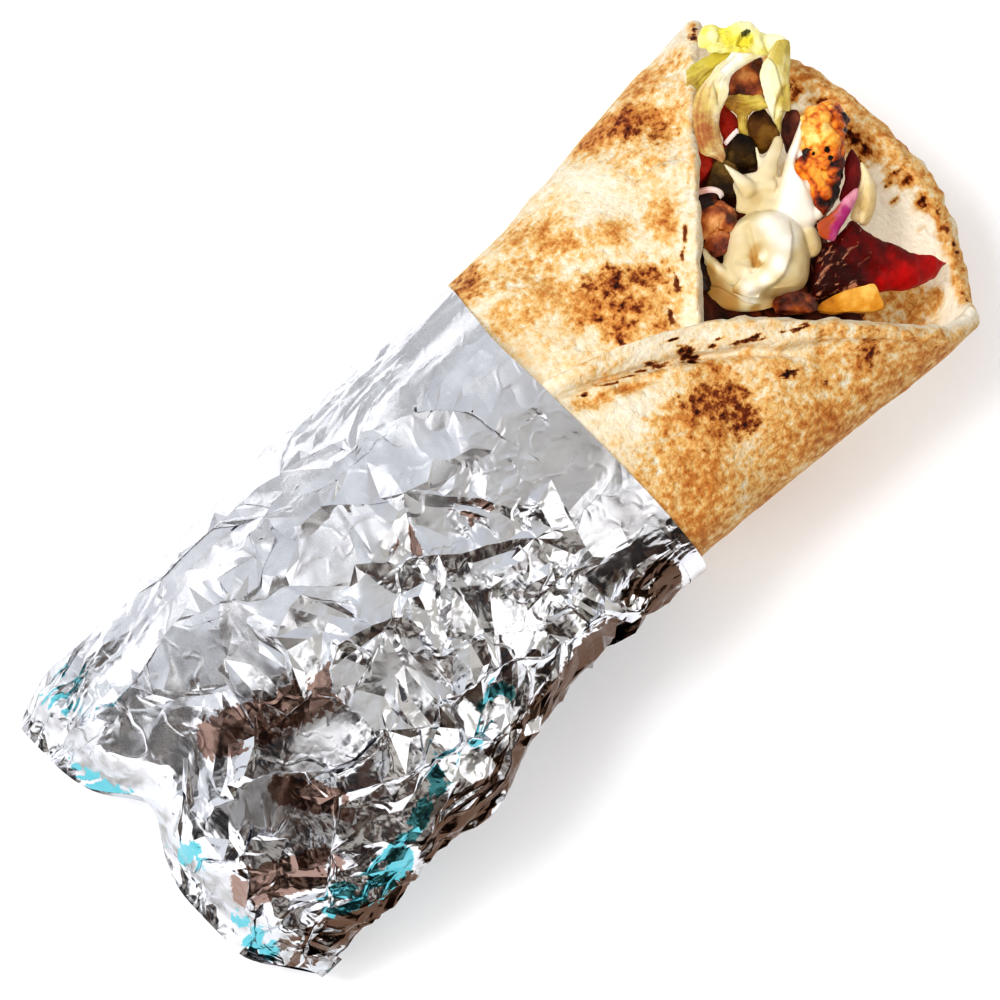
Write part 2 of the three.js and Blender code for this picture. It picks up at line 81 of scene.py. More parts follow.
def lineDistance(x, y, line):
    # how far each point is from a broken line, how far along it, and on which side: 1 left, -1 right
    best = np.full(np.shape(x), 1e9)
    along = np.zeros(np.shape(x))
    left = np.ones(np.shape(x))
    steps = np.array(line, float)
    lengths = np.linalg.norm(np.diff(steps, axis=0), axis=1)
    done = 0.0
    for (ax, ay), (bx, by), length in zip(steps[:-1], steps[1:], lengths):
        t = np.clip(((x - ax) * (bx - ax) + (y - ay) * (by - ay)) / length**2, 0, 1)
        away = np.hypot(x - ax - t * (bx - ax), y - ay - t * (by - ay))
        closer = away < best
        best = np.where(closer, away, best)
        along = np.where(closer, (done + t * length) / lengths.sum(), along)
        left = np.where(closer, np.sign((bx - ax) * (y - ay) - (by - ay) * (x - ax)), left)
        done += length
    return best, along, left


def ledge(x, y, line, drop, reach):
    # the ground left of a line falls away sharply beside it and comes back over the reach
    away, along, left = lineDistance(x, y, line)
    beside = away * left
    fade = np.minimum(1, 6 * np.minimum(along, 1 - along) + 0.05)
    return -drop * fade * ramp(beside, -0.25, 0.25) * np.exp(-np.maximum(beside, 0) / reach)


def knotted(points, knots):
    # a value for each point out of those given at a few places (x, y, value)
    total, weights = 0.0, 0.0
    for x, y, value in knots:
        weight = 1 / (((points[..., 0] - x) ** 2 + (points[..., 1] - y) ** 2) ** 1.7 + 0.02)
        total, weights = total + weight * value, weights + weight
    return total / weights


def nearSpots(x, y, spots):
    near = np.zeros(np.shape(x))
    for cx, cy, reach in spots:
        near = np.maximum(near, np.exp(-(((x - cx) ** 2 + (y - cy) ** 2) / reach**2) ** 1.5))
    return near


def turned(x, y, degrees):
    # a place along and across a direction that is turned by so many degrees
    c, s = math.cos(math.radians(degrees)), math.sin(math.radians(degrees))
    return x * c + y * s, y * c - x * s


# meshes
def addPiece(name, shape, finish, node, crisp=None):
    # shape holds the points, the faces and a value for each point under each mark
    points, faces, marks = shape
    mesh = bpy.data.meshes.new(name)
    mesh.from_pydata(((points + rollZero) * mm).tolist(), [], faces)
    shell = bmesh.new()
    shell.from_mesh(mesh)
    bmesh.ops.recalc_face_normals(shell, faces=shell.faces)
    if shell.calc_volume(signed=True) < 0:
        bmesh.ops.reverse_faces(shell, faces=shell.faces)
    shell.to_mesh(mesh)
    shell.free()
    for key, values in marks.items():
        layer = mesh.attributes.new(key, "FLOAT", "POINT")
        layer.data.foreach_set("value", np.asarray(values, np.float32).ravel())
    mesh.shade_smooth()
    if crisp is not None:
        ends = np.zeros(len(mesh.edges) * 2, np.int64)
        mesh.edges.foreach_get("vertices", ends)
        layer = mesh.attributes.new("sharp_edge", "BOOLEAN", "EDGE")
        layer.data.foreach_set("value", np.isin(sideKeys(ends.reshape(-1, 2)), crisp))
    mesh.materials.append(finish)
    piece = bpy.data.objects.new(name, mesh)
    bpy.context.scene.collection.objects.link(piece)
    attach(piece, "root")
    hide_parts(node)
    print(name, "made:", len(faces), "faces")


def ringFaces(rings, around):
    # quads between rings of points that are numbered ring by ring
    i, j = np.meshgrid(np.arange(rings - 1), np.arange(around), indexing="ij")
    right = (j + 1) % around
    corners = [i * around + j, i * around + right, (i + 1) * around + right, (i + 1) * around + j]
    return np.stack(corners, -1).reshape(-1, 4).tolist()


def sheetFaces(rings, around):
    # the same for flattened rings, with quads across the two ends
    faces = ringFaces(rings, around)
    for row in (0, rings - 1):
        ring = [row * around + j for j in range(around)]
        pairs = [[ring[j], ring[j + 1], ring[-2 - j], ring[-1 - j]] for j in range(around // 2 - 1)]
        faces += pairs if row else [pair[::-1] for pair in pairs]
    return faces


# shader maths: a Tap wraps a socket, so that it adds, multiplies and clamps like a number
class Tap:
    def __init__(self, finish, socket):
        self.finish, self.socket = finish, socket

    def maths(self, operation, *numbers):
        return self.finish.node("ShaderNodeMath", {"operation": operation}, dict(enumerate(numbers)))

    def __add__(self, other):
        return self.maths("ADD", self, other)

    def __sub__(self, other):
        return self.maths("SUBTRACT", self, other)

    def __rsub__(self, other):
        return self.maths("SUBTRACT", other, self)

    def __mul__(self, other):
        return self.maths("MULTIPLY", self, other)

    __radd__ = __add__
    __rmul__ = __mul__

    def least(self, other):
        return self.maths("MINIMUM", self, other)

    def size(self):
        return self.maths("ABSOLUTE", self)

    def step(self, low, high):
        # 0 below low, 1 above high, eased between
        values = {"Value": self, "From Min": low, "From Max": high}
        return self.finish.node("ShaderNodeMapRange", {"interpolation_type": "SMOOTHSTEP"}, values)


class Finish:
    def __init__(self, name, world=False):
        if world:
            self.block = bpy.data.worlds.new(name)
            bpy.context.scene.world = self.block
        else:
            self.block = bpy.data.materials.new(name)
        self.block.use_nodes = True
        self.tree = self.block.node_tree
        self.tree.nodes.clear()
        self.position = None

    def node(self, kind, settings=None, values=None, output=0):
        made = self.tree.nodes.new(kind)
        for key, value in (settings or {}).items():
            if key == "stops":
                elements = made.color_ramp.elements
                while len(elements) < len(value):
                    elements.new(0.5)
                for element, (place, colour) in zip(elements, value):
                    element.position, element.color = place, (*rgb(*colour), 1)
            else:
                setattr(made, key, value)
        for key, value in (values or {}).items():
            if isinstance(value, Tap):
                self.tree.links.new(value.socket, made.inputs[key])
            elif isinstance(value, tuple) and made.inputs[key].type == "RGBA":
                made.inputs[key].default_value = (*value, 1)
            else:
                made.inputs[key].default_value = value
        return Tap(self, made.outputs[output]) if made.outputs else None

    def vectors(self, operation, first, second, output=0):
        return self.node("ShaderNodeVectorMath", {"operation": operation}, {0: first, 1: second}, output)

    def place(self):
        # the surface's own coordinates, in metres
        if self.position is None:
            self.position = self.node("ShaderNodeTexCoord", output="Object")
        return self.position

    def stretched(self, scale):
        return self.vectors("MULTIPLY", self.place(), scale)

    def shaken(self, far, size):
        # the coordinates pushed about by a noise, far mm at most
        centred = self.vectors("SUBTRACT", self.noise(size, 2, 0.5, output="Color"), (0.5, 0.5, 0.5))
        values = {0: centred, "Scale": far * 2 * mm}
        push = self.node("ShaderNodeVectorMath", {"operation": "SCALE"}, values)
        return self.vectors("ADD", self.place(), push)

    def noise(self, size, detail, rough, warp=0, where=None, output="Fac"):
        # a noise whose lumps are about size mm across
        values = {"Vector": where or self.place(), "Scale": 1 / mm / size, "Detail": detail}
        values |= {"Roughness": rough, "Distortion": warp}
        return self.node("ShaderNodeTexNoise", {}, values, output)

    def cells(self, size, kind="F1", where=None):
        values = {"Vector": where or self.place(), "Scale": 1 / mm / size}
        return self.node("ShaderNodeTexVoronoi", {"feature": kind}, values)

    def mark(self, name):
        return self.node("ShaderNodeAttribute", {"attribute_name": name}, output="Fac")

    def mix(self, first, second, factor):
        return self.node("ShaderNodeMix", {"data_type": "RGBA"}, {0: factor, 6: first, 7: second}, 2)

    def tint(self, value, stops):
        return self.node("ShaderNodeValToRGB", {"stops": stops}, {"Fac": value})

    def bump(self, height, distance, strength):
        values = {"Height": height, "Distance": distance * mm, "Strength": strength}
        return self.node("ShaderNodeBump", {}, values)

    def surface(self, colour, soft=None, coat=None, **sockets):
        # soft is the share of light that goes under the skin, each colour's reach and their scale in metres
        values = {"Base Color": colour} | {key.replace("_", " "): value for key, value in sockets.items()}
        if soft:
            values |= dict(zip(("Subsurface Weight", "Subsurface Radius", "Subsurface Scale"), soft))
        if coat:
            values |= dict(zip(("Coat Weight", "Coat Roughness"), coat))
        shader = self.node("ShaderNodeBsdfPrincipled", {}, values)
        self.node("ShaderNodeOutputMaterial", {}, {"Surface": shader})
        return self.block


def rgb(*colour):
    # from a picture's numbers, 0 to 255, to the linear colour that shaders use
    shares = [number / 255 for number in colour]
    return tuple(c / 12.92 if c <= 0.04045 else ((c + 0.055) / 1.055) ** 2.4 for c in shares)


# the roll's section, the same as the solids'
roll = {
    "halfWidth": 37,
    "flare": 4,
    "height": 37.5,
    "square": 2.4,
    "dip": 1.5,
    "shoulderX": -52,
    "endX": -102.5,
    "endHeight": 8,
}


def foilEnd(y):
    return roll["endX"] + 8.5 * hump(y, 7, 9) + 8.5 * ramp(-y, 26, 42) + 5 * ramp(y, 37, 43)


def rightWaist(x):
    return 2.2 * (1 - 0.5 * ramp(x, 62, 86)) + 4.8 * hump(x, -10, 23) - 1.6 * hump(x, -46, 12)


def rollPoint(angle, x, outward, floor):
    # angle 0 is underneath and rises toward the left; outward is how far outside the roll's skin
    toEnd = np.clip((roll["shoulderX"] - x) / (roll["shoulderX"] - roll["endX"]), 0, 1)
    half = between(roll["height"], roll["endHeight"], toEnd**1.7) / 2
    sideways = powered(np.sin(angle), 2 / roll["square"])
    down = powered(np.cos(angle), 2 / roll["square"])
    waist = np.where(sideways < 0, rightWaist(x), toEnd)
    width = roll["halfWidth"] + roll["flare"] * ramp(x, 25, 85) - waist
    z = floor + half - (half + outward + np.where(down > 0, roll["dip"], 0)) * down
    y = (width + outward) * sideways
    shift = (foilEnd(y) - roll["endX"]) * toEnd**2
    return np.stack([x + shift, y, np.maximum(z, floor - outward)], -1)


# flatbread
bread = {
    "thickness": 3.2,
    "tailX": -82,
    "flapGap": 0.6,
    "rightEnd": math.radians(-196),
    "leftEnd": math.radians(204),
    "rimTip": (105.5, -8),
    "rimHeight": 28,
    "lipStart": 72,  # where the bottom layer begins to rise to its rim
    "crossingY": -10.8,
    "columns": 380,
    "hiddenRows": 8,
    "shownRows": 130,
    "innerRows": 70,
    "rimSteps": 6,
    "bead": 0.12,  # how much thicker the edge is
    "foilEnds": (15, 22),  # its roughness fades in from under the foil
    "band": (6.6, 1.8),  # width of the right flap's rolled edge, from the foil to the tip
    # toasted patches on the flaps, a few of them painted shade as marked below: x, y, reach along and
    # across, turn, how toasted, how dark inside
    "leftPatches": [
        (69.5, 35.7, 10.5, 4.6, -38, 0.9, 0.55), (67.1, 35, 5, 2.6, -40, 0.9, 0.8),
        (62.8, 37.4, 6, 3.4, -25, 0.85, 0.5), (72.5, 29.2, 4, 3.4, -45, 0.8, 0.55),
        (48, 9.2, 5.5, 3.6, -42, 0.95, 0.85), (41.9, 13, 7, 3.6, -42, 0.9, 0.8),
        (35.7, 13, 6, 5, -45, 0.8, 0.5), (40.6, 6.9, 9, 4.6, -35, 0.8, 0.6),
        (36.9, 5.4, 4.5, 4, -20, 0.85, 0.75), (42.2, 0.2, 4, 3, 0, 0.75, 0.6),
        (23.8, 34.4, 4.5, 4.2, 20, 0.9, 0.65), (23.3, 39.6, 4, 2.4, 0, 0.6, 0.15),
        (41.2, 26.1, 5, 3.6, -50, 0.7, 0.3), (39.1, 32.9, 9, 4, -30, 0.55, 0.1),
        (31.9, 28.6, 9, 5, -30, 0.5, 0.1), (33.1, 18.7, 8, 5, -45, 0.55, 0.2),
        (49.5, 20.6, 6, 3.6, -45, 0.55, 0.15), (58.5, 15, 3.4, 6, -45, 0.58, 0.15),
        (24.3, 22.1, 8, 4, -20, 0.5, 0.1), (77.4, 39.8, 8, 3.4, -10, 0.65, 0.25),
        (70.1, 42.6, 5, 2.6, 0, 0.55, 0.1), (84.4, 37.8, 5, 3, 0, 0.5, 0.1),
        # the second patch on the next line, at (64.4, 25.3), is painted shade: a narrow tan strip along the
        # dent's fold
        (95.1, 40.5, 3, 2, 0, 0.6, 0.2), (64.4, 25.3, 6, 1.6, -15, 0.42, 0),
        (76.1, 28.6, 2.4, 5, -45, 0.5, 0.1), (49.3, 2.2, 1.6, 6, -45, 0.5, 0.3),
    ],
    "rightPatches": [
        (37.3, -17, 5.6, 4.4, -45, 1, 0.9), (41.7, -19.7, 4.6, 3.6, -20, 0.95, 0.9),
        (40, -23.9, 4, 4.8, -45, 0.95, 0.95), (33.4, -16.5, 6, 4, -30, 0.8, 0.4),
        (29.2, -15.8, 5, 3.6, -30, 0.7, 0.2), (42.9, -14.2, 4.5, 2.6, -40, 0.75, 0.4),
        (68.4, -31.5, 4.5, 2.4, 40, 0.9, 0.75), (64.5, -34.2, 4.5, 2.2, 45, 0.85, 0.5),
        # the long patches near y = -41 on the next three lines are partly painted shade: browned streaks
        # along the right flap's lower edge, which turns from the light
        (77.6, -41.8, 10, 2.2, 0, 0.66, 0.25), (63, -42.2, 9, 2.2, 0, 0.7, 0.3),
        (62.6, -36.7, 3, 4, 20, 0.75, 0.35), (48.8, -41.8, 10, 2.4, 5, 0.66, 0.2),
        (35.4, -40.9, 9, 2.6, 0, 0.66, 0.2), (34.8, -22.3, 6, 3.4, -30, 0.8, 0.5),
        (23.1, -27.2, 5, 1.6, -20, 0.66, 0.25), (65.6, -25.5, 4, 1.4, -40, 0.5, 0.2),
        # the first two patches on the next line and the first on the line after are painted shade: golden
        # strips along the groove behind the rolled band
        (23.9, -2.5, 4, 1, -20, 0.6, 0.1), (28.9, -4.7, 4.5, 1.2, -22, 0.66, 0.15),
        (33.9, -6.6, 3, 1, -22, 0.6, 0.1), (49, -15.4, 3, 1.4, -30, 0.45, 0),
    ],
    # how toasted the right flap and the inner wall are between their patches: x, y, value. On the right
    # flap it is partly painted shade, higher toward the lower edge, which turns from the light; low on the
    # wall beside the red pepper it is simply browner
    "rightGround": [
        (22.7, -2.6, 0.16), (31.2, -5.2, 0.12), (41.3, -8.8, 0.12), (51.5, -15.2, 0.12), (58, -22.5, 0.14),
        (50.3, -23.2, 0.28), (54.1, -29.2, 0.38), (63.3, -28.5, 0.4), (71.5, -31.8, 0.42),
        (75.9, -37.8, 0.55), (84.8, -39.6, 0.55), (64.3, -37, 0.56), (53.3, -36.8, 0.6),
        (44.1, -34.8, 0.58), (45.4, -27, 0.42), (37.4, -26.9, 0.36), (31.5, -21.5, 0.44), (25.1, -14, 0.22),
        (22, -20, 0.4), (25.1, -28.1, 0.57), (32.7, -34.8, 0.56), (19.3, -34.5, 0.6), (26.4, -35.9, 0.62),
    ],
    "wallGround": [
        (103, 21.7, 0.25), (101.3, 15.9, 0.14), (103.4, 9.4, 0.16), (103.7, 2, 0.16), (98, 13.5, 0.15),
        (102.1, -1.9, 0.08), (102.4, -8.2, -0.02), (98.6, -11.7, -0.08), (100.7, -16.7, -0.06),
        (100.5, -22.5, -0.04), (94.3, -19.3, -0.04), (94.3, -26.2, 0.02), (98.7, -29.2, 0.05),
        (91.7, -31.8, 0.52), (94.6, -32.5, 0.1), (87.5, -28.2, 0.6), (92.2, -37, 0.02), (85.4, -23.1, 0.7),
    ],
    # char specks on the inner wall, each in a golden ring: x, y, reach
    "wallSpecks": [
        (100.4, 18.6, 1), (99.9, 16.8, 0.9), (101.8, 11.8, 0.9), (97.8, 13.7, 0.5), (101.1, 13.7, 0.5),
        (102.5, 5.3, 0.8), (102, 3.1, 1), (101.5, 1, 1.1), (101.6, -1.2, 1), (99.8, -2.4, 1),
        (101.8, 2.1, 0.8), (101.8, -4.8, 0.6), (101.4, -3, 0.7), (102, -7.7, 0.5), (103.3, -8.4, 0.4),
        (103.5, -9.9, 0.5), (101.3, -9.2, 0.4), (102.5, -10, 0.45), (100.5, -9.7, 0.6), (102, -12.2, 0.75),
        (98.2, -7.9, 0.35), (98.7, -12.9, 0.45), (101.7, -17.2, 0.7), (101.4, -18.4, 0.4),
        (102.1, -20.9, 0.75), (102.2, -23.6, 0.5), (100.9, -24.2, 0.4), (101.3, -25.3, 0.5),
        (98.8, -20.8, 0.4), (100.4, -27.8, 0.5), (98.2, -32.6, 0.4), (99.6, -29.5, 0.35), (94, -37.8, 0.5),
        (93.3, -39.9, 0.6), (94.6, -36.1, 0.4), (96, -38.2, 0.4),
    ],
    # short burnt marks on the flaps: x, y, reach along and across, turn
    "burnMarks": [
        (59.3, 9.9, 1.9, 0.6, 45), (55.7, 7, 1.1, 0.5, 45), (50.9, 3.8, 2.2, 0.6, 50),
        (52.1, 6, 0.7, 0.5, 45), (45.5, 0, 2.2, 0.8, 60), (67.3, 16.4, 0.5, 0.3, 45),
        (93.5, 39.5, 1.3, 0.9, 45), (91.7, 38.4, 0.8, 0.8, 0), (21.1, 0.4, 0.5, 0.35, -20),
        (22.3, -0.3, 0.4, 0.35, -20), (30.9, -3.3, 0.7, 0.5, -20), (37.5, -6.5, 0.6, 0.4, -20),
        (36.3, -5.8, 0.5, 0.4, -20), (41.7, -9.5, 0.9, 0.6, -20), (45.5, -10.2, 0.6, 0.35, -20),
        (48.9, -13.1, 0.5, 0.3, -20), (50.3, -13.6, 0.7, 0.35, -30), (23.8, -0.7, 0.7, 0.5, -20),
        (25.6, -1.4, 0.6, 0.4, 0), (27.3, -2.2, 0.5, 0.5, -20), (29.7, -2.8, 0.8, 0.4, -20),
        (31.9, -3.4, 0.6, 0.5, 0), (33.3, -3.9, 0.9, 0.5, -20), (35.2, -4.5, 0.9, 0.6, -20),
        (41.7, -7.9, 1.5, 1.1, -30), (42.8, -9.5, 0.7, 0.6, 0), (41.5, -5.9, 0.5, 0.4, 0),
        (40.9, -4.3, 0.6, 0.4, 0), (47.6, -10.1, 0.5, 0.4, 0), (51.7, -14.5, 1.3, 0.4, -35),
        (53.2, -15.2, 1, 0.5, -35), (54.3, -16.5, 0.4, 0.3, 0), (57.8, -18.3, 1.2, 0.4, -40),
        (59.9, -19.6, 1.6, 0.5, -30), (61.6, -20.1, 0.7, 0.5, -35), (53.9, -24.8, 1.3, 0.8, -30),
        (52.2, -24.3, 0.6, 0.5, 0), (57.9, -30.7, 0.5, 0.5, 0), (67.1, -21.9, 1, 0.4, -45),
        (71.1, -27.2, 0.9, 0.4, -45),
    ],
    # the crack, then folds and ridges in the flaps: line of x, y; half width; depth, below zero for a
    # ridge. The wide grooves also get painted shade, a golden colour along them
    "marks": [
        ([(66.4, -20), (63.2, -23.4), (60.6, -25.4), (59, -28)], 0.6, 1.3),
        ([(49.4, -19.5), (46.8, -22.5)], 0.45, 0.6),
        ([(17, -1.5), (26.5, -5.6), (36.5, -10), (49.5, -17.4), (59.9, -25.5)], 0.8, -0.55),
        ([(19.4, -0.4), (22.4, -2.1), (25.9, -3.6), (30, -5.2), (34, -6.4), (36, -6.9)], 1.7, 2.3),
        ([(38.2, -8), (42.4, -10.5), (46.7, -13.1), (51.5, -15.7)], 1.2, 0.6),
        ([(46.3, 3.7), (46.5, 0.4), (45.2, -5)], 0.7, 0.7),
        ([(58, 29), (66, 27), (73, 27)], 2.4, -0.7),
    ],
    # where a flap steps down on the left of a line: line, drop, and how far the drop reaches
    "folds": [
        ([(59.4, 24.6), (62.4, 24.6), (65.6, 24.4), (68.2, 23), (71, 20.4)], 1.5, 5),
        ([(32.7, -20.2), (27.7, -17.5), (23.4, -15.7), (18.3, -12)], 0.7, 6),
    ],
    "stops": [
        (0, (234, 227, 211)),
        (0.2, (229, 211, 178)),
        (0.4, (224, 184, 122)),
        (0.64, (200, 140, 74)),
        (1, (166, 90, 42)),
    ],
}


def breadFloor(x):
    return bread["thickness"] / 2 + between(foil["gap"] + foil["wall"], 0, ramp(x, 20, 42))


def overlapRise(angle):
    climb = ramp(-angle, math.radians(68), math.radians(128))
    return (bread["thickness"] + bread["flapGap"]) * np.where(angle < 0, climb, 0)


def rimEdge(y):
    tipX, tipY = bread["rimTip"]
    left = 10 * (np.maximum(0, y - tipY) / 48) ** 3.5
    return tipX - np.where(y > tipY, left, 15 * ((tipY - y) / 34) ** 2)


def leftFlapEdge(y):
    return 52.9 + 0.971 * y + 2.6 * np.maximum(0, y / 41) ** 4


def rightFlapEdge(y):
    past = y - bread["crossingY"]
    return 54.6 - 1.1 * past - 0.058 * np.maximum(0, past) ** 2


def breadEdge(angle):
    rim = rimEdge(rollPoint(angle, np.full_like(angle, 92.0), 0, 0)[..., 1])
    flap = np.full_like(angle, 60.0)
    for _ in range(4):
        y = rollPoint(angle, flap, 0, 0)[..., 1]
        flap = np.where(angle > 0, leftFlapEdge(y), rightFlapEdge(y))
    return between(rim, flap, ramp(np.abs(angle), math.radians(86), math.radians(116)))


def breadMiddle(angle, x, edge):
    p = rollPoint(angle, x, overlapRise(angle), breadFloor(x))
    lipStart, tipX = bread["lipStart"], bread["rimTip"][0]
    lip = np.maximum(0, (x - lipStart) / (tipX - lipStart)) ** 1.7
    lower = 1 - ramp(np.abs(angle), math.radians(80), math.radians(125))
    rimZ = bread["rimHeight"] + 4 * np.sin(angle) ** 2
    p[..., 2] += (rimZ - p[..., 2]) * np.minimum(1, lip) * lower
    upper = 1 - lower
    fromEdge = edge - x
    free = ramp(x, foil["mouthX"], foil["mouthX"] + 14)
    right = np.where(angle < 0, upper, 0)
    left = np.where(angle > 0, upper, 0)
    lift = upper * free * 1.6 * np.exp(-fromEdge / 7)
    groove = right * 1.5 * hump(fromEdge, 9, 2.6)
    dent = left * 1.8 * hump(p[..., 0], 74, 4) * hump(p[..., 1], 29, 7)
    swell = upper * free * 0.5 * np.sin(p[..., 0] * 0.31 + p[..., 1] * 0.12)
    swell *= np.sin(p[..., 1] * 0.23 - 0.6)
    p[..., 2] += lift - groove - dent + swell
    return p


def breadNormal(angle, x, edge):
    da, dx = 1e-3, 1e-2
    across = breadMiddle(angle + da, x, edge) - breadMiddle(angle - da, x, edge)
    down = breadMiddle(angle, x + dx, edge) - breadMiddle(angle, x - dx, edge)
    return unit(np.cross(across, down))


def patchShade(points, patches, level):
    # the strongest patch at each point; level 0 picks how toasted, 1 how dark
    x = points[..., 0] + 1.1 * drift(points, 4.0, 17)
    y = points[..., 1] + 1.1 * drift(points, 4.0, 18)
    shade = np.zeros(x.shape)
    for cx, cy, long, wide, turn, *strength in patches:
        along, across = turned(x - cx, y - cy, turn)
        away = (along / long) ** 2 + (across / wide) ** 2
        shade = np.maximum(shade, strength[level] * np.exp(-(away**1.1) * 0.8))
    return shade


def buildBread():
    angles = np.linspace(bread["rightEnd"], bread["leftEnd"], bread["columns"] + 1)
    edge = breadEdge(angles)[:, None]
    start = np.minimum(8.0, edge - 12.0)
    hidden = np.linspace(0, 1, bread["hiddenRows"], endpoint=False)
    shown = np.linspace(0, 1, bread["shownRows"]) ** 0.92
    inner = np.linspace(0, 1, bread["innerRows"])[::-1] ** 0.92
    tail = np.full_like(edge, bread["tailX"])
    outerX = np.concatenate([between(tail, start, hidden), between(start, edge, shown)], 1)
    innerX = np.concatenate([between(start, edge, inner), between(tail, start, hidden[::-1])], 1)
    turn = np.linspace(0, math.pi, bread["rimSteps"] + 2)[1:-1]
    x = np.concatenate([outerX, np.repeat(edge, bread["rimSteps"], 1), innerX], 1)
    side = np.concatenate([np.ones(outerX.shape[1]), np.cos(turn), -np.ones(innerX.shape[1])])
    push = np.concatenate([np.zeros(outerX.shape[1]), np.sin(turn), np.zeros(innerX.shape[1])])
    angle = np.repeat(angles[:, None], x.shape[1], 1)
    edges = np.repeat(edge, x.shape[1], 1)
    normal = breadNormal(angle, x, edges)
    fromEdge = edges - x
    nearEdge, outOfFoil = np.exp(-fromEdge / 2.5), ramp(x, *bread["foilEnds"])
    half = bread["thickness"] / 2 * (1 + bread["bead"] * nearEdge * outOfFoil)
    points = breadMiddle(angle, x, edges) + normal * (side * half)[..., None]
    points[..., 0] += push * bread["thickness"] * 0.45
    points[..., 0] += (0.8 * drift(points, 3.2, 9) + 0.4 * drift(points, 1.5, 11)) * nearEdge * outOfFoil
    points += normal * (breadRelief(points, angle, fromEdge, side) * side * outOfFoil)[..., None]
    underFoil = x < 17
    points[..., 2] = np.maximum(points[..., 2], np.where(underFoil, foil["wall"] + 0.1, 0.0))
    toast, char = breadToast(points, angle, fromEdge, side)
    rows, columns = points.shape[:2]
    marks = {"toast": toast, "char": char, "outer": np.tile(side, (rows, 1))}
    return points.reshape(-1, 3), sheetFaces(rows, columns), marks


def breadRelief(points, angle, fromEdge, side):
    top = ramp(np.abs(angle), math.radians(95), math.radians(125))
    x, y = points[..., 0], points[..., 1]
    relief = 0.3 * drift(points, 9, 3) + 0.2 * drift(points, 4.2, 4) + 0.1 * drift(points, 2.1, 5)
    outside = np.maximum(side, 0)
    # the right flap's edge is a soft band, with a groove behind it
    right = np.where(angle < 0, top, 0) * outside
    bandWidth = between(*bread["band"], ramp(x, 28, 86))
    crooked = fromEdge * 0.7 + 0.7 * drift(points, 5, 14)
    relief += right * (1.3 * (1 - ramp(crooked, bandWidth * 0.8, bandWidth * 1.02)))
    relief -= right * 0.9 * hump(crooked, bandWidth * 1.15, 1.0) * (1 - ramp(x, 58, 76))
    ragged = 0.35 * drift(points, 1.7, 12) + 0.25 * drift(points, 3.4, 13)
    relief += top * outside * ragged * hump(fromEdge, 0, 4)
    for line, drop, reach in bread["folds"]:
        relief += outside * top * ledge(x, y, line, drop, reach)
    for line, width, depth in bread["marks"]:
        away = lineDistance(x, y, line)[0]
        relief -= outside * top * depth * hump(away, 0, width) * (0.6 + 0.4 * drift(points, 2.0, 8))
    return relief


def breadToast(points, angle, fromEdge, side):
    x, y = points[..., 0], points[..., 1]
    top = ramp(np.abs(angle), math.radians(70), math.radians(95))
    outside = np.clip(side, 0, 1)
    left = angle > 0
    flaps = bread["leftPatches"], bread["rightPatches"]
    toasted, dark = (
        np.where(left, *(patchShade(points, patches, level) for patches in flaps)) for level in (0, 1)
    )
    below = np.clip(0.45 + 0.6 * drift(points, 15, 21), 0, 0.9)
    # painted shade in part: the right flap's ground rises toward its lower edge, which turns from the light
    ground = np.where(left, 0.15, knotted(points, bread["rightGround"])) + 0.19 * drift(points, 9, 22)
    toast = outside * (top * np.maximum(toasted, ground) + (1 - top) * below)
    char = outside * (top * dark + (1 - top) * np.clip(below * 1.2 - 0.45, 0, 1))
    # the crack, and short burnt marks along the flaps' edges
    crack = hump(lineDistance(x, y, bread["marks"][0][0])[0], 0, 0.45)
    burnt = np.zeros_like(x)
    for cx, cy, long, wide, turn in bread["burnMarks"]:
        along, across = turned(x - cx, y - cy, turn)
        away = np.hypot(along / long, across / wide) * (1 + 0.6 * drift(points, 1.0, 31))
        burnt = np.maximum(burnt, np.exp(-(away**2)))
    char = np.maximum(char, outside * top * np.maximum(burnt * 1.5, crack * 0.2))
    toast = np.maximum(toast, outside * top * np.maximum(burnt, crack * 0.4) * 0.8)
    # inner wall: char specks in golden rings, and a thin golden rim
    wall = (1 - top) * (1 - outside)
    speck, halo = np.zeros_like(x), np.zeros_like(x)
    for cx, cy, reach in bread["wallSpecks"]:
        away = np.hypot(x - cx, y - cy) / (reach * (1 + 0.5 * drift(points, 1.2, 34)))
        speck = np.maximum(speck, np.exp(-(away**2)))
        halo = np.maximum(halo, hump(away, 0, 1.9))
    char = np.maximum(char, wall * speck * 1.6)
    rim = wall * (1 - ramp(fromEdge + 1.0 * drift(points, 3, 35), 0.2, 1.7))
    ground = knotted(points, bread["wallGround"]) + 0.16 * drift(points, 3, 36)
    golden = np.maximum(np.maximum(halo * 0.95, rim * 0.5), ground)
    toast = np.maximum(toast, wall * np.clip(golden, 0, 1))
    # painted shade: golden toast colour laid in the wide grooves behind the rolled band, where their shadow
    # falls
    for line, width, depth in bread["marks"]:
        if width > 1:
            shaded = hump(lineDistance(x, y, line)[0], 0, width) * (0.7 + 0.6 * drift(points, 3, 38))
            toast = np.maximum(toast, outside * top * shaded * (0.24 * depth))
    lip = (1 - top) * hump(fromEdge, 0, 2.6) * ramp(side, -0.8, 0.4)
    toast = np.maximum(toast, lip * (0.42 + 0.4 * drift(points, 4, 33)))
    char = np.maximum(char, lip * ramp(drift(points, 2.0, 37), 0.3, 0.7) * 0.9)
    return np.clip(toast, 0, 1.2), np.clip(char, 0, 1.4)


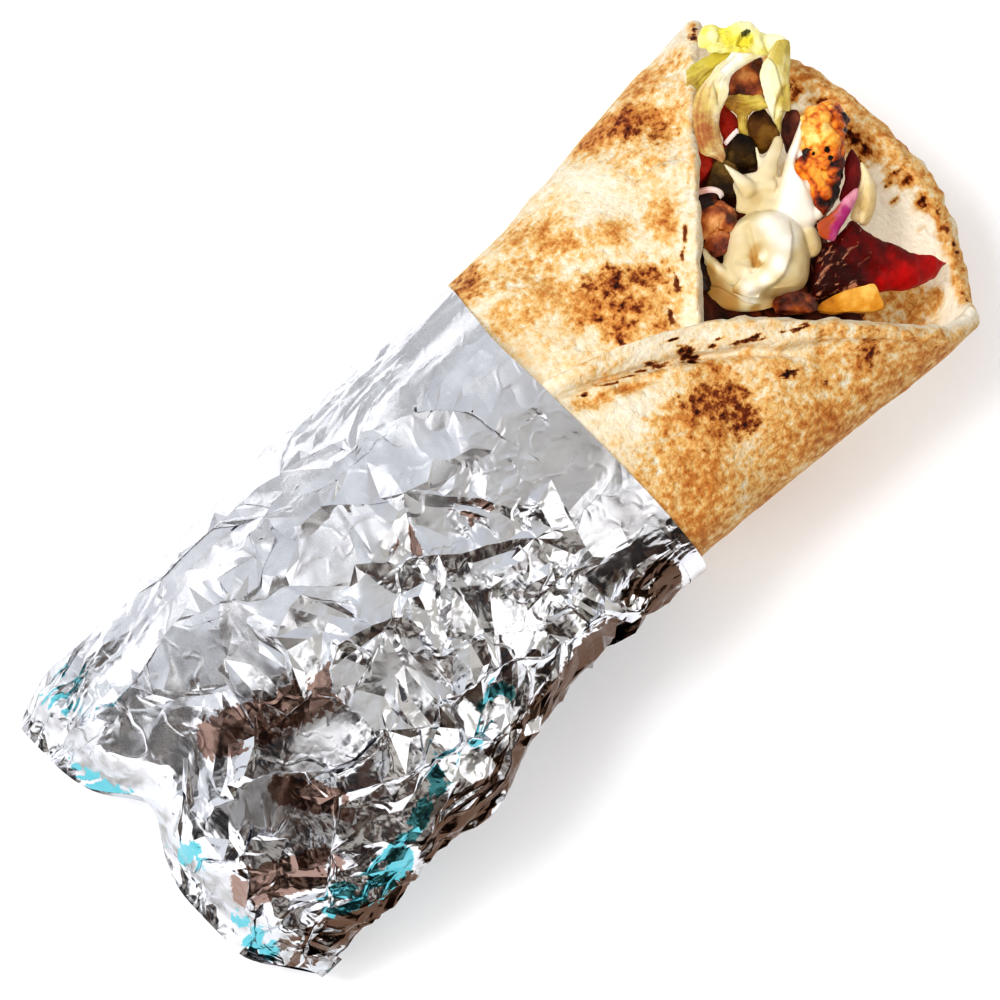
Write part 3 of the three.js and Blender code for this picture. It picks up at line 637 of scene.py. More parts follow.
def breadFinish():
    f = Finish("bakedBread")
    toast, char = f.mark("toast"), f.mark("char")
    broad = f.noise(5, 4, 0.6, 0.3)
    grain = f.noise(1.6, 3, 0.55)
    fine = f.noise(0.6, 3, 0.6)
    spots = 0.5 - f.cells(1.3, "SMOOTH_F1", f.shaken(0.9, 1.4))
    speckle = (grain - 0.5) * 1.7 + spots * 0.4 + (broad - 0.5) * 0.8 + (fine - 0.5) * 0.7
    base = f.tint(toast * 0.84 + speckle * (toast * 1.6 + 0.16).least(0.75) + 0.02, bread["stops"])
    # partly painted light: the untoasted inner wall is mixed toward near-white, its crumb's own pale colour
    # made brighter to lift the wall that the lamps leave dim
    wall = (0 - f.mark("outer")).step(0, 0.6) * (1 - toast.step(0.05, 0.4))
    base = f.mix(base, rgb(255, 248, 230), wall * 0.75)
    # dark grains, closer together where it is more burnt
    burnt = (speckle + char * 0.75).step(0.42, 0.8)
    colour = f.mix(base, rgb(112, 46, 16), burnt * (char * 2.4).least(0.94))
    coal = (speckle * 1.3 + char * 0.72).step(0.84, 1.1)
    colour = f.mix(colour, rgb(38, 20, 15), coal * (char * 1.6).least(0.95))
    pits = f.cells(1.9).step(0, 0.55)
    normal = f.bump(broad * 0.6 + grain * 0.5 + fine * 0.2 + pits * 0.12, 1.1, 1)
    return f.surface(
        colour,
        soft=(0.1, (1, 0.5, 0.25), 0.002),
        Roughness=0.72 - toast * 0.14,
        Normal=normal,
        Specular_IOR_Level=0.35,
    )


# foil
foil = {
    "wall": 0.6,
    "gap": 0.9,
    "mouthX": 16.5,
    "girth": 245,
    "columns": 30,
    "rows": 12,
    "seed": 7,
    "jitter": 0.3,
    "cageKick": 0.17,  # how far a new corner stands off, as a share of its side
    "kicks": (0.2, 0.13),  # the same in mm, for each round of smoothing
    "kickChance": (0.35, 0.3),
    "crispAngle": (5, 8),  # bends kept crisp: where taut, and how much more where crumpled
    "crispChance": (0.95, 0.85),
    "warp": 1.5,  # how far the lattice is bent sideways, so that its sides curve
    "deepest": 2.3,
    "hemDepth": 4,
    "endZ": 3.6,  # height of the pinched end
    # long folds: line of x, y; how high it stands; how deep the valley on its far side is
    "folds": [
        ([(-73, 6), (-63, 4), (-55, 2), (-49, -1), (-42, -2), (-37, -5), (-33, -9), (-27, -16),
          (-17, -25)],
         2,
         0.3),
        ([(-70, 1), (-64, -1), (-57, -2)], 1.7, 0.4),
        ([(-30, 31), (-36, 29), (-44, 23), (-52, 20), (-60, 15), (-66, 13), (-70, 8), (-75, 5)], 1.6, 0.5),
        ([(-16, 8), (-32, 8), (-40, 9), (-46, 9), (-52, 9), (-58, 7)], 1.7, 0.3),
        ([(-78, 20), (-72, 17), (-68, 17)], 1.5, 0.4),
        ([(-87, 2), (-79, -4), (-73, -7), (-67, -13)], 2.2, 0.2),
        ([(-57, -16), (-60, -24)], 1.8, 0.4),
        ([(-55, -9), (-48, -18), (-40, -22)], 1.8, 0.5),
        ([(-19, 10), (-8, 9), (2, 8), (12, 5)], 1, 0.4),
        ([(2, 9), (5, 3), (4, -5), (2, -13), (-6, -13)], 1.2, 0.2),
        ([(2, -13), (7, -14), (12, -15)], 1.2, 0.3),
        ([(-7, -16), (-4, -25), (-4, -31)], 1.6, 0.3),
        ([(-34, 9), (-27, 3), (-17, -6), (-13, -8), (-6, -13)], 1.6, 0.2),
        ([(-18, -29), (-11, -32), (-5, -32)], 1.9, 0.6),
        ([(-62, 35), (-39, 34), (-23, 31)], 1.2, 0.4),
        ([(-85, 24), (-70, 25), (-59, 25)], 1.5, 0.5),
        ([(-24, 25), (-12, 24), (-1, 21)], 0.9, 0.4),
        ([(-54, -19), (-47, -23), (-40, -22), (-35, -24), (-24, -27)], 1.9, 0.4),
        ([(-69, -20), (-60, -25), (-51, -29), (-41, -31)], 2, 0.4),
        ([(-88, -13), (-82, -16), (-77, -22), (-75, -27)], 2.2, 0.3),
        ([(-100, -28), (-93, -21), (-89, -15)], 2.2, 0.5),
        ([(-92, -36), (-82, -32), (-74, -26)], 2.2, 0.5),
        ([(-87, 38), (-86, 30), (-91, 21), (-98, 17)], 2.2, 0.5),
        ([(-30, 33), (-37, 29), (-46, 25.5), (-54, 22), (-65, 16)], 1.3, 0.2),
        ([(-20, 30), (-12, 24), (-4, 20), (6, 9)], 0.9, 0.2),
        ([(-46, 25), (-38, 21), (-30, 20), (-21, 12), (-13, 9)], 1.2, 0.2),
        ([(-34, 30), (-24, 22), (-20, 14)], 0.9, 0.2),
        ([(-62, 26), (-52, 18), (-46, 16), (-40, 11)], 1.1, 0.2),
    ],
    # places where it is crushed into small creases: x, y, reach
    "crimps": [(-7, -24, 7), (-3, -31, 5), (-30, -13, 6), (-87, -28, 10), (-97, -26, 8), (-89, 30, 10),
               (-97, 22, 8), (-96, 8, 9), (-98, -8, 7), (-74, 14, 6), (-66, 3, 5), (-60, 2, 4),
               (-46, -28, 7), (-24, 1, 5)],
    # places where it lies smooth
    "calms": [(-42, -14, 6), (-58, -9, 5), (-78, -12, 6), (4, -22, 6), (10, -8, 5), (13, -12, 5),
              (10, -21, 6), (0, 20, 10), (-28, 24, 9), (-42, 16, 7)],
    # painted reflections: facets tinted where they turn one way, standing in for coloured surroundings
    # mirrored in the foil: colour, that way, least and full turn, lines with their reach
    "paintedReflections": {
        "copper": ((158, 130, 118),
                   (-0.7, 0.2),
                   (0, 0.2),
                   [
                       ([(-92, -20), (-85, -24), (-78, -28)], 4),
                       ([(-76, 4), (-68, 0), (-58, -4), (-50, -6)], 4.6),
                       ([(-25, 4), (-14, 0), (-6, -2)], 3.5),
                       ([(-74, -12), (-68, -22)], 3),
                   ]),
        "navy": ((90, 92, 106),
                 (0.3, -0.5),
                 (0.1, 0.3),
                 [
                     ([(-80, -15), (-70, -13), (-61, -13)], 6),
                     ([(-95, 4), (-96, -8)], 3),
                     ([(-56, -16), (-46, -14)], 4),
                 ]),
        "bronze": ((96, 64, 36),
                   (-0.3, -0.95),
                   (0.3, 0.6),
                   [
                       ([(-104, 33), (-104, 24)], 2.5),
                       ([(-98, 9), (-101, -2), (-103, -14), (-103, -24)], 3.6),
                       ([(-98, -33), (-92, -36), (-80, -39), (-70, -41)], 3.6),
                       ([(8, -35), (-6, -36), (-24, -37.5), (-36, -38.5), (-48, -39.5), (-60, -41)], 4.2),
                   ]),
        "teal": ((106, 196, 208),
                 (-0.5, -0.87),
                 (0.3, 0.5),
                 [
                     ([(-84, 27), (-89, 34), (-93, 40)], 5.5),
                     ([(-101, 24), (-99, 14), (-97, 9)], 3),
                     ([(-97, -3), (-95, -8)], 2.6),
                     ([(-82, -34), (-74, -37), (-67, -37)], 3.2),
                     ([(-99, -22), (-98, -30)], 3),
                     ([(-63, -35), (-59, -35), (-57, -34)], 2.2),
                     ([(-52, -32.5), (-47, -31)], 2.8),
                     ([(-40, -31), (-31, -29)], 2.8),
                 ]),
    },
}


def foilRise(angle):
    turn = np.where(angle > math.pi, angle - 2 * math.pi, angle)
    return np.maximum(ramp(-turn, 1, 1.95), ramp(turn, 2.3, 2.72))


def foilPoint(angle, x, outward):
    over = (bread["thickness"] + bread["flapGap"]) * foilRise(angle)
    clear = outward + bread["thickness"] / 2 + foil["gap"] + over
    p = rollPoint(angle, x, clear, foil["wall"] + foil["gap"] + bread["thickness"] / 2)
    p[..., 0] += 3.8 * ramp(p[..., 1], 18, 40) * ramp(x, foil["mouthX"] - 40, foil["mouthX"])
    return p


def foilLoose(points):
    # how crumpled the foil is: taut near its mouth and upper left, crushed at its end
    x, y, z = points.T
    loose = between(0.95, 0.42, ramp(y, -4, 16)) * (1 - 0.6 * ramp(x, -4, 14) * ramp(y, -34, -18))
    loose = np.maximum(loose, 1.25 * (1 - ramp(x, -96, -76)))
    loose *= 0.8 + 0.4 * np.abs(drift(points, 26, 15))
    loose *= 1 - 0.75 * ramp(z, 10, 22) * nearSpots(x, y, foil["calms"])
    return loose + 0.5 * ramp(z, 2, 10) * nearSpots(x, y, foil["crimps"])


def triangleSides(triangles):
    pairs = np.concatenate([triangles[:, [0, 1]], triangles[:, [1, 2]], triangles[:, [2, 0]]])
    sides, place = np.unique(np.sort(pairs, axis=1), axis=0, return_inverse=True)
    return sides, place.reshape(3, -1)


def quarterTriangles(triangles, middles):
    ab, bc, ca = middles
    a, b, c = triangles.T
    parts = ((a, ab, ca), (ab, b, bc), (ca, bc, c), (ab, bc, ca))
    return np.concatenate([np.stack(part, 1) for part in parts])


def triangleNormals(points, triangles):
    a, b, c = (points[triangles[:, k]] for k in range(3))
    return unit(np.cross(b - a, c - a))


def sideAngles(points, triangles, sides, place):
    # how much the surface bends at each side, in degrees; open sides count as sharp
    total = np.zeros((len(sides), 3))
    normals = triangleNormals(points, triangles)
    for k in range(3):
        np.add.at(total, place[k], normals)
    return np.degrees(np.arccos(np.clip((total**2).sum(1) / 2 - 1, -1, 1)))


def cornerNormals(points, triangles):
    total = np.zeros_like(points)
    for k in range(3):
        np.add.at(total, triangles[:, k], triangleNormals(points, triangles))
    return unit(total)


def sideKeys(pairs):
    # one number for each side, from its two corners
    return np.sort(pairs, axis=1) @ np.array([1 << 22, 1])


def roundOff(points, triangles, crisp):
    # one round of smoothing subdivision that keeps the crisp sides; crisp holds their keys
    sides, place = triangleSides(triangles)
    count = len(points)
    across = np.zeros((len(sides), 3))
    uses = np.zeros(len(sides))
    for k in range(3):
        np.add.at(across, place[k], points[triangles[:, (k + 2) % 3]])
        np.add.at(uses, place[k], 1)
    kept = np.isin(sideKeys(sides), crisp) | (uses < 2)
    a, b = points[sides[:, 0]], points[sides[:, 1]]
    middles = np.where(kept[:, None], (a + b) / 2, (a + b) * 0.375 + across * 0.125)
    total, degree = np.zeros((count, 3)), np.zeros(count)
    keptTotal, keptDegree = np.zeros((count, 3)), np.zeros(count)
    for one, other in ((0, 1), (1, 0)):
        np.add.at(total, sides[:, one], points[sides[:, other]])
        np.add.at(degree, sides[:, one], 1)
        np.add.at(keptTotal, sides[kept, one], points[sides[kept, other]])
        np.add.at(keptDegree, sides[kept, one], 1)
    share = (3 / (8 * degree))[:, None]
    smooth = points * (1 - degree[:, None] * share) + total * share
    creased = points * 0.75 + keptTotal * 0.125
    corners = np.where((keptDegree == 2)[:, None], creased, points)
    corners = np.where((keptDegree < 2)[:, None], smooth, corners)
    fresh = count + np.arange(len(sides))[kept]
    halves = np.concatenate([np.stack([sides[kept, k], fresh], 1) for k in (0, 1)])
    return np.concatenate([corners, middles]), quarterTriangles(triangles, count + place), sideKeys(halves)


def foilCage(rng):
    # an uneven lattice of triangles around and along the roll, split twice with random kicks
    columns, rows = foil["columns"], foil["rows"]
    girth, length = foil["girth"], foil["mouthX"] - roll["endX"]
    j, i = np.meshgrid(np.arange(rows + 1), np.arange(columns), indexing="ij")
    inside = (j > 0) & (j < rows)
    shake = rng.uniform(-foil["jitter"], foil["jitter"], (2, *i.shape))
    u = (((i + 0.5 * (j % 2) + shake[0]) / columns) % 1.0).ravel()
    v = ((j + inside * shake[1]) / rows).ravel()
    triangles = []
    for row, column in np.ndindex(rows, columns):
        a, b = row * columns + column, row * columns + (column + 1) % columns
        c, d = a + columns, b + columns
        triangles += [(a, b, d), (a, d, c)] if row % 2 else [(a, b, c), (b, d, c)]
    triangles = np.array(triangles)
    h = rng.random(u.size) * 1.5 * foilLoose(foilPlace(u, v, 0))
    for reach in (3.6, 1.9):
        sides, place = triangleSides(triangles)
        first, second = sides.T
        du = (u[second] - u[first] + 0.5) % 1.0 - 0.5
        dv = v[second] - v[first]
        t = 0.5 + rng.uniform(-0.13, 0.13, len(sides))
        mu, mv = (u[first] + du * t) % 1.0, v[first] + dv * t
        loose = foilLoose(foilPlace(mu, mv, 0))
        busy = rng.random(len(sides)) < 0.35 + 0.4 * loose
        kick = rng.uniform(-1, 1, len(sides)) * np.where(busy, 1.0, 0.2) * foil["cageKick"] * loose
        mh = between(h[first], h[second], t) + np.hypot(du * girth, dv * length) * kick
        middles = len(u) + place
        u, v, h = np.concatenate([u, mu]), np.concatenate([v, mv]), np.concatenate([h, mh])
        triangles = quarterTriangles(triangles, middles)
        for line, ridge, valley in foil["folds"]:
            u, v, h = gatherFold(u, v, h, np.array(line, float), reach, ridge)
            u, v, h = gatherFold(u, v, h, np.array(line, float) + (0.3, -2.6), reach * 0.8, valley)
    place = foilPlace(u, v, 0)
    inner = (v > 1e-6) & (v < 1 - 1e-6)
    u = (u + foil["warp"] * drift(place, 9, 61) / girth * inner) % 1.0
    v = np.where(inner, np.clip(v + foil["warp"] * drift(place, 9, 62) / length, 0.008, 0.992), v)
    x = between(roll["endX"], foil["mouthX"], v)
    h = np.clip(h, 0, foil["deepest"]) * (1 - 0.8 * ramp(x, 0, foil["mouthX"]))
    return foilPlace(u, v, 0.15 + h), triangles, v


def foilPlace(u, v, outward):
    # u is the share of the way round, v from the pinched end to the mouth
    points = foilPoint(u * 2 * math.pi, between(roll["endX"], foil["mouthX"], v), outward)
    flat = ramp(-points[:, 0], 92, 102)
    points[:, 2] += (foil["endZ"] - points[:, 2]) * 0.6 * flat
    points[:, 2] = np.maximum(points[:, 2], 0.02)
    return points


def gatherFold(u, v, h, line, reach, level):
    # moves nearby corners onto a fold line and lifts them to its level
    length = foil["mouthX"] - roll["endX"]
    p = foilPlace(u, v, 0.5 + h)
    onTop = (np.cos(u * 2 * math.pi) < 0.3) & (v > 0.015) & (v < 0.985)
    best = np.full(u.shape, 1e9)
    target = p[:, :2].copy()
    for (ax, ay), (bx, by) in zip(line[:-1], line[1:]):
        run = (bx - ax) ** 2 + (by - ay) ** 2
        t = np.clip(((p[:, 0] - ax) * (bx - ax) + (p[:, 1] - ay) * (by - ay)) / run, 0, 1)
        near = np.stack([ax + t * (bx - ax), ay + t * (by - ay)], 1)
        away = np.hypot(p[:, 0] - near[:, 0], p[:, 1] - near[:, 1])
        closer = away < best
        best = np.where(closer, away, best)
        target = np.where(closer[:, None], near, target)
    take = onTop & (best < reach)
    nudge = 1e-3
    slope = (foilPlace(u + nudge, v, 0.5 + h)[:, 1] - p[:, 1]) / nudge
    slope = np.where(np.abs(slope) < 60, 60 * np.sign(slope + 1e-9), slope)
    u = np.where(take, (u + (target[:, 1] - p[:, 1]) / slope) % 1.0, u)
    v = np.where(take, np.clip(v + (target[:, 0] - p[:, 0]) / length, 0.015, 0.985), v)
    return u, v, np.where(take, between(h, level, 0.8), h)


def buildFoil():
    rng = np.random.default_rng(foil["seed"])
    points, triangles, v = foilCage(rng)
    rings = [v > 1 - 1e-6, v < 1e-6]
    crispFrom, crispMore = foil["crispAngle"]
    rounds = zip(foil["kicks"], foil["kickChance"], foil["crispChance"])
    for kick, kickChance, crispChance in rounds:
        inside = ~(rings[0] | rings[1])
        loose = foilLoose(points)
        crushed = ramp(points[:, 2], 1, 8) * nearSpots(points[:, 0], points[:, 1], foil["crimps"])
        chance = kickChance * (0.3 + 0.7 * loose) + 0.5 * crushed
        push = kick * (0.5 + 0.5 * loose + crushed) * rng.uniform(-1.4, 0.7, len(points))
        push *= inside * (rng.random(len(points)) < chance)
        points += cornerNormals(points, triangles) * push[:, None]
        sides, place = triangleSides(triangles)
        bend = sideAngles(points, triangles, sides, place)
        least = crispFrom + crispMore * loose[sides[:, 0]]
        crisp = sideKeys(sides[(bend > least) & (rng.random(len(sides)) < crispChance)])
        points, triangles, crisp = roundOff(points, triangles, crisp)
        rings = [growRing(ring, triangles, len(points)) for ring in rings]
    # fine lines along the smooth left side
    satin = ramp(points[:, 1], -6, 14) * ramp(points[:, 2], 6, 18)
    wrinkle = 1 - np.abs(drift(points * (0.28, 1, 1), 2.2, 51)) * 2.2
    wrinkle = np.maximum(wrinkle, 0) * ramp(drift(points * (0.5, 1, 1), 5, 52), -0.1, 0.5)
    inside = ~(rings[0] | rings[1])
    points += cornerNormals(points, triangles) * (inside * wrinkle * (0.04 + 0.12 * satin))[:, None]
    points[:, 2] = np.maximum(points[:, 2], 0.02)
    faces = triangles.tolist()
    for ringMask, makeRings, flip in ((rings[0], mouthHem, True), (rings[1], foldedEnd, False)):
        ring = np.nonzero(ringMask)[0]
        y, z = points[ring, 1], points[ring, 2]
        ring = ring[np.argsort(np.arctan2(y - y.mean(), z.mean() - z))]
        for extra in makeRings(points[ring]):
            fresh = np.arange(len(points), len(points) + len(extra))
            points = np.concatenate([points, extra])
            quads = np.stack([ring, np.roll(ring, -1), np.roll(fresh, -1), fresh], 1)
            faces += (quads if flip else quads[:, ::-1]).tolist()
            ring = fresh
    return points, faces, foilMarks(points, triangles), crisp


def foilMarks(points, triangles):
    # where it is satin or rumpled, where painted reflections tint it, and where it is low on its side, for
    # painted shade
    x, y, z = points.T
    calm = nearSpots(x, y, foil["calms"]) * ramp(z, 10, 22)
    satin = np.maximum(ramp(y, -6, 14) * ramp(z, 6, 18), 0.85 * calm)
    marks = {"satin": satin, "rumple": np.clip(foilLoose(points), 0, 1.2)}
    normals = cornerNormals(points, triangles)
    for name, (_, (wayX, wayY), (least, full), streaks) in foil["paintedReflections"].items():
        facing = ramp(normals[:, 0] * wayX + normals[:, 1] * wayY, least, full)
        near = np.zeros(len(points))
        for line, reach in streaks:
            near = np.maximum(near, np.exp(-((lineDistance(x, y, line)[0] / reach) ** 4)))
        marks[name] = np.clip(near * facing * ramp(z, 4, 14), 0, 1)
    # painted shade: steep facets low on the sides are marked to be darkened
    marks["low"] = (1 - ramp(normals[:, 2], 0.35, 0.75)) * (1 - ramp(z, 16, 34))
    return marks


def growRing(ring, triangles, count):
    # the ring's corners after a round of splitting: old ones, and new ones on its open sides
    sides, place = triangleSides(triangles)
    uses = np.bincount(place.ravel(), minlength=len(sides))
    open_ = sides[uses == 1]
    grown = np.zeros(count, bool)
    grown[: len(ring)] = ring
    touch = open_[grown[open_].any(axis=1)]
    grown[touch.ravel()] = True
    return grown


def mouthHem(ring):
    # folded over the edge and back inside, close to the bread
    middle = ring.mean(axis=0)
    inward = unit((middle - ring) * (0, 1, 1))
    return [ring + inward * 0.18 + (0.12, 0, 0), ring + inward * 0.4 - (foil["hemDepth"], 0, 0)]


def foldedEnd(ring):
    # the end pinched flat
    endZ = foil["endZ"]
    pinched = ring.copy()
    pinched[:, 2] = endZ + (ring[:, 2] - endZ) * 0.15
    pinched[:, 0] += 1.2
    closed = pinched + (4.0, 0, 0)
    closed[:, 2] = endZ
    return [pinched, closed]


def foilFinish():
    f = Finish("crumpledFoil")
    satin = f.mark("satin")
    rolled = f.noise(0.3, 2, 0.5, where=f.stretched((1, 0.15, 1)))
    soft = f.noise(7, 2, 0.5)
    small = f.noise(1.3, 3, 0.55, 0.5)
    sway = f.noise(8, 1, 0.5)
    crease = (f.noise(6.5, 2, 0.5, 0.3) - 0.5).size()
    dimples = (f.noise(3.4, 1, 0.5, 0.4) - 0.5).size()
    rumpled = f.mark("rumple") * 0.5 + 0.14
    vein = 1 - ((f.noise(10, 2.2, 0.5) - 0.5).size() * 26).least(1)
    fold = 1 - ((f.noise(16, 2, 0.5) - 0.5).size() * 40).least(1)
    lines = vein * f.noise(7, 1, 0.5).step(0.44, 0.56) * 0.1 + fold * 0.16
    lumps = sway * 0.8 + (crease + dimples * 0.3) * (1 - satin * 0.7) + small * 0.03
    lumps = lumps + lines * (1 + satin * 0.6)
    normal = f.bump(lumps * rumpled + rolled * 0.008, 1, 0.8)
    roughness = 0.12 + satin * 0.13 + small.step(0.45, 0.8) * 0.04 + rolled * 0.03
    colour = f.mix(rgb(246, 247, 250), rgb(232, 232, 236), soft.step(0.3, 0.7))
    # painted shade and dark reflections: steep, low facets are mixed toward a darker, blotchy grey
    tone = f.mix(rgb(204, 207, 212), rgb(138, 134, 130), f.noise(5, 2, 0.5, 0.5).step(0.36, 0.64))
    colour = f.mix(colour, tone, f.mark("low") * 0.9)
    patchy = (f.noise(2.4, 3, 0.6, 0.8) - 0.5) * 1.8
    # painted reflections: coloured patches on facets that turn one way
    for name, (tint, *_) in foil["paintedReflections"].items():
        colour = f.mix(colour, rgb(*tint), (f.mark(name) + patchy).step(0.45, 0.6) * 0.93)
    return f.surface(colour, Metallic=1, Roughness=roughness, Normal=normal)


# filling: sweeps, sheets and melted blobs
def through(points, t):
    # a smooth curve through the points, t from 0 to 1
    points = np.array(points, float)
    count = len(points) - 1
    at = np.clip(t, 0, 1) * count
    i = np.minimum(at.astype(int), count - 1)
    f = (at - i)[:, None]
    near = [points[np.clip(i + k, 0, count)] for k in (0, 1)]
    before = np.where((i > 0)[:, None], points[np.maximum(i - 1, 0)], 2 * near[0] - near[1])
    after = np.where((i < count - 1)[:, None], points[np.minimum(i + 2, count)], 2 * near[1] - near[0])
    a, b = near
    square = 2 * before - 5 * a + 4 * b - after
    cube = 3 * a - before - 3 * b + after
    return 0.5 * (2 * a + (b - before) * f + square * f**2 + cube * f**3)


def evenly(points, t):
    # the same curve as through, but with t in even lengths
    fine = through(points, np.linspace(0, 1, 400))
    reach = np.concatenate([[0], np.cumsum(np.linalg.norm(np.diff(fine, axis=0), axis=1))])
    return np.stack([np.interp(t * reach[-1], reach, fine[:, axis]) for axis in range(3)], -1)


def overSteps(value, t):
    # a size given as one number or as a list along the piece
    if isinstance(value, list):
        return np.interp(t, np.linspace(0, 1, len(value)), value)
    return np.full(t.shape, float(value))


def crowded(rings):
    # shares of the way along, closer together toward both ends
    return (1 - np.cos(np.linspace(0, math.pi, rings))) / 2


def rounded(share):
    # a rounded end, from 0 at the tip to 1 where the rounding is over
    return np.sqrt(np.maximum(1 - (1 - np.clip(share, 0, 1)) ** 2, 0))


def outline(around, square):
    # a rounded rectangle's two coordinates, from -1 to 1
    angle = np.linspace(0, 2 * math.pi, around, endpoint=False)
    return powered(np.cos(angle), 2 / square), powered(np.sin(angle), 2 / square)


def skinNormals(grid, wrap):
    along = np.gradient(grid, axis=0)
    around = np.roll(grid, -1, 1) - np.roll(grid, 1, 1) if wrap else np.gradient(grid, axis=1)
    return unit(np.cross(around, along))


def capped(grid):
    # rings of points as a closed solid
    rings, around = grid.shape[:2]
    ends = [list(range(around))[::-1], [(rings - 1) * around + j for j in range(around)]]
    return grid.reshape(-1, 3), ringFaces(rings, around) + ends


def chunk(path, width, height, square=2.3, ends=(0.12, 0.12), rings=110, around=72, relief=None):
    # a solid strip along a path; its relief is given by places along, across and up it
    t = crowded(rings)
    line = through(path, t)
    ahead = unit(np.gradient(line, axis=0))
    side = unit(np.cross(ahead, (0, 0, 1)))
    lift = np.cross(side, ahead)
    length = np.linalg.norm(np.diff(line, axis=0), axis=1).sum()
    close = np.maximum(rounded(t / ends[0]) * rounded((1 - t) / ends[1]), 0.02)
    sideways, upward = outline(around, square)
    across = np.outer(overSteps(width, t) * close / 2, sideways)
    up = np.outer(overSteps(height, t) * close / 2, upward)
    grid = line[:, None] + side[:, None] * across[..., None] + lift[:, None] * up[..., None]
    if relief:
        local = np.stack([np.repeat(t[:, None] * length, around, 1), across, up], -1)
        swell = relief(local) * np.minimum(close * 1.5, 1)[:, None]
        grid = grid + skinNormals(grid, True) * swell[..., None]
    return capped(grid)


def closedSheet(middle, half):
    # a closed skin on both sides of a sheet
    normal = skinNormals(middle, False) * half[..., None]
    loop = np.concatenate([middle + normal, (middle - normal)[:, ::-1]], 1)
    return loop.reshape(-1, 3), sheetFaces(*loop.shape[:2])


def slab(first, second, top, under, square=2.6, ends=0.06, rings=100, around=72, relief=None):
    # a solid piece between two edge lines: top and under are how far it stands above and below them
    t = crowded(rings)
    a, b = evenly(first, t)[:, None], evenly(second, t)[:, None]
    close = np.maximum(rounded(np.minimum(t, 1 - t) / ends), 0.03)[:, None]
    sideways, upward = outline(around, square)
    share, high = sideways[None] * close, upward[None] * close
    height = high * np.where(high > 0, overSteps(top, t)[:, None], overSteps(under, t)[:, None])
    grid = a * (0.5 - share / 2)[..., None] + b * (0.5 + share / 2)[..., None]
    grid = grid + height[..., None] * np.array([0, 0, 1])
    if relief:
        normals = skinNormals(grid, True)
        outward = (normals * (grid - grid.mean(1, keepdims=True))).sum()
        grid = grid + normals * np.sign(outward) * (relief(grid, height) * close)[..., None]
    return capped(grid)


def leaf(first, second, seed, folds, arch, ruffle=0, waves=3, thickness=0.35):
    # a thin leaf between two edge lines, arched between them, its edges wavy
    t = np.linspace(0, 1, leafMesh["rows"])
    s = np.linspace(-1, 1, leafMesh["columns"])
    toTip = np.minimum(t, 1 - t)
    a, b = evenly(first, t)[:, None], evenly(second, t)[:, None]
    middle = a * ((1 - s) / 2)[:, None] + b * ((1 + s) / 2)[:, None]
    wave = np.sin(t * waves * 2 * math.pi + seed)[:, None] * np.abs(s) ** 1.6 * np.where(s > 0, 1, -0.8)
    wave = wave + 0.6 * np.sin(t * waves * 4.6 * math.pi + seed * 2.1)[:, None] * np.abs(s) ** 3
    height = overSteps(arch, t)[:, None] * (1 - s**2)
    height = height + ruffle * wave * np.minimum(1, 5 * toTip + 0.2)[:, None]
    for line, drop, reach in folds:
        height = height + ledge(middle[..., 0], middle[..., 1], line, drop, reach)
    veins = np.abs(drift(middle * (1, 1, 0) + 3.0 * drift(middle, 5, seed + 72)[..., None], 1.9, seed + 71))
    lumps = drift(middle, 3.0, seed + 70) + 0.9 * veins + 0.4 * drift(middle, 0.8, seed + 73)
    height = height + leafMesh["relief"] * lumps
    middle = middle + height[..., None] * np.array([0, 0, 1])
    crooked = drift(np.stack([t * 40, t * 0, t * 0], -1), 1.0, seed + 74)[:, None]
    ragged = 1 + 0.03 * crooked * np.abs(s) ** 6
    middle = (middle - (a + b) / 2) * ragged[..., None] + (a + b) / 2
    edge = np.sqrt(np.maximum(1 - np.abs(s) ** 6, 0.1)) * np.sqrt(np.minimum(1, 0.1 + 12 * toTip))[:, None]
    local = np.stack([*np.broadcast_arrays(t[:, None], s[None]), 0 * height], -1)
    points, faces = closedSheet(middle, thickness / 2 * edge)
    return points, faces, np.concatenate([local, local[:, ::-1]], 1).reshape(-1, 3)


def joined(parts):
    # several parts as one: the points and faces of one after another
    faces, start = [], 0
    for points, partFaces in parts:
        faces += [[start + corner for corner in face] for face in partFaces]
        start += len(points)
    return np.concatenate([points for points, _ in parts]), faces


def melted(parts, voxel, rounds):
    # parts fused into one smooth skin
    points, faces = joined(parts)
    mesh = bpy.data.meshes.new("melting")
    mesh.from_pydata((points * mm).tolist(), [], faces)
    work = bpy.data.objects.new("melting", mesh)
    bpy.context.scene.collection.objects.link(work)
    remesh = work.modifiers.new("voxels", "REMESH")
    remesh.mode, remesh.voxel_size = "VOXEL", voxel * mm
    soften = work.modifiers.new("soften", "SMOOTH")
    soften.factor, soften.iterations = 0.5, rounds
    done = bpy.data.meshes.new_from_object(work.evaluated_get(bpy.context.evaluated_depsgraph_get()))
    places, normals = np.zeros((2, len(done.vertices) * 3))
    done.vertices.foreach_get("co", places)
    done.vertex_normals.foreach_get("vector", normals)
    faces = [list(face.vertices) for face in done.polygons]
    bpy.data.objects.remove(work)
    bpy.data.meshes.remove(mesh)
    bpy.data.meshes.remove(done)
    return places.reshape(-1, 3) / mm, faces, normals.reshape(-1, 3)


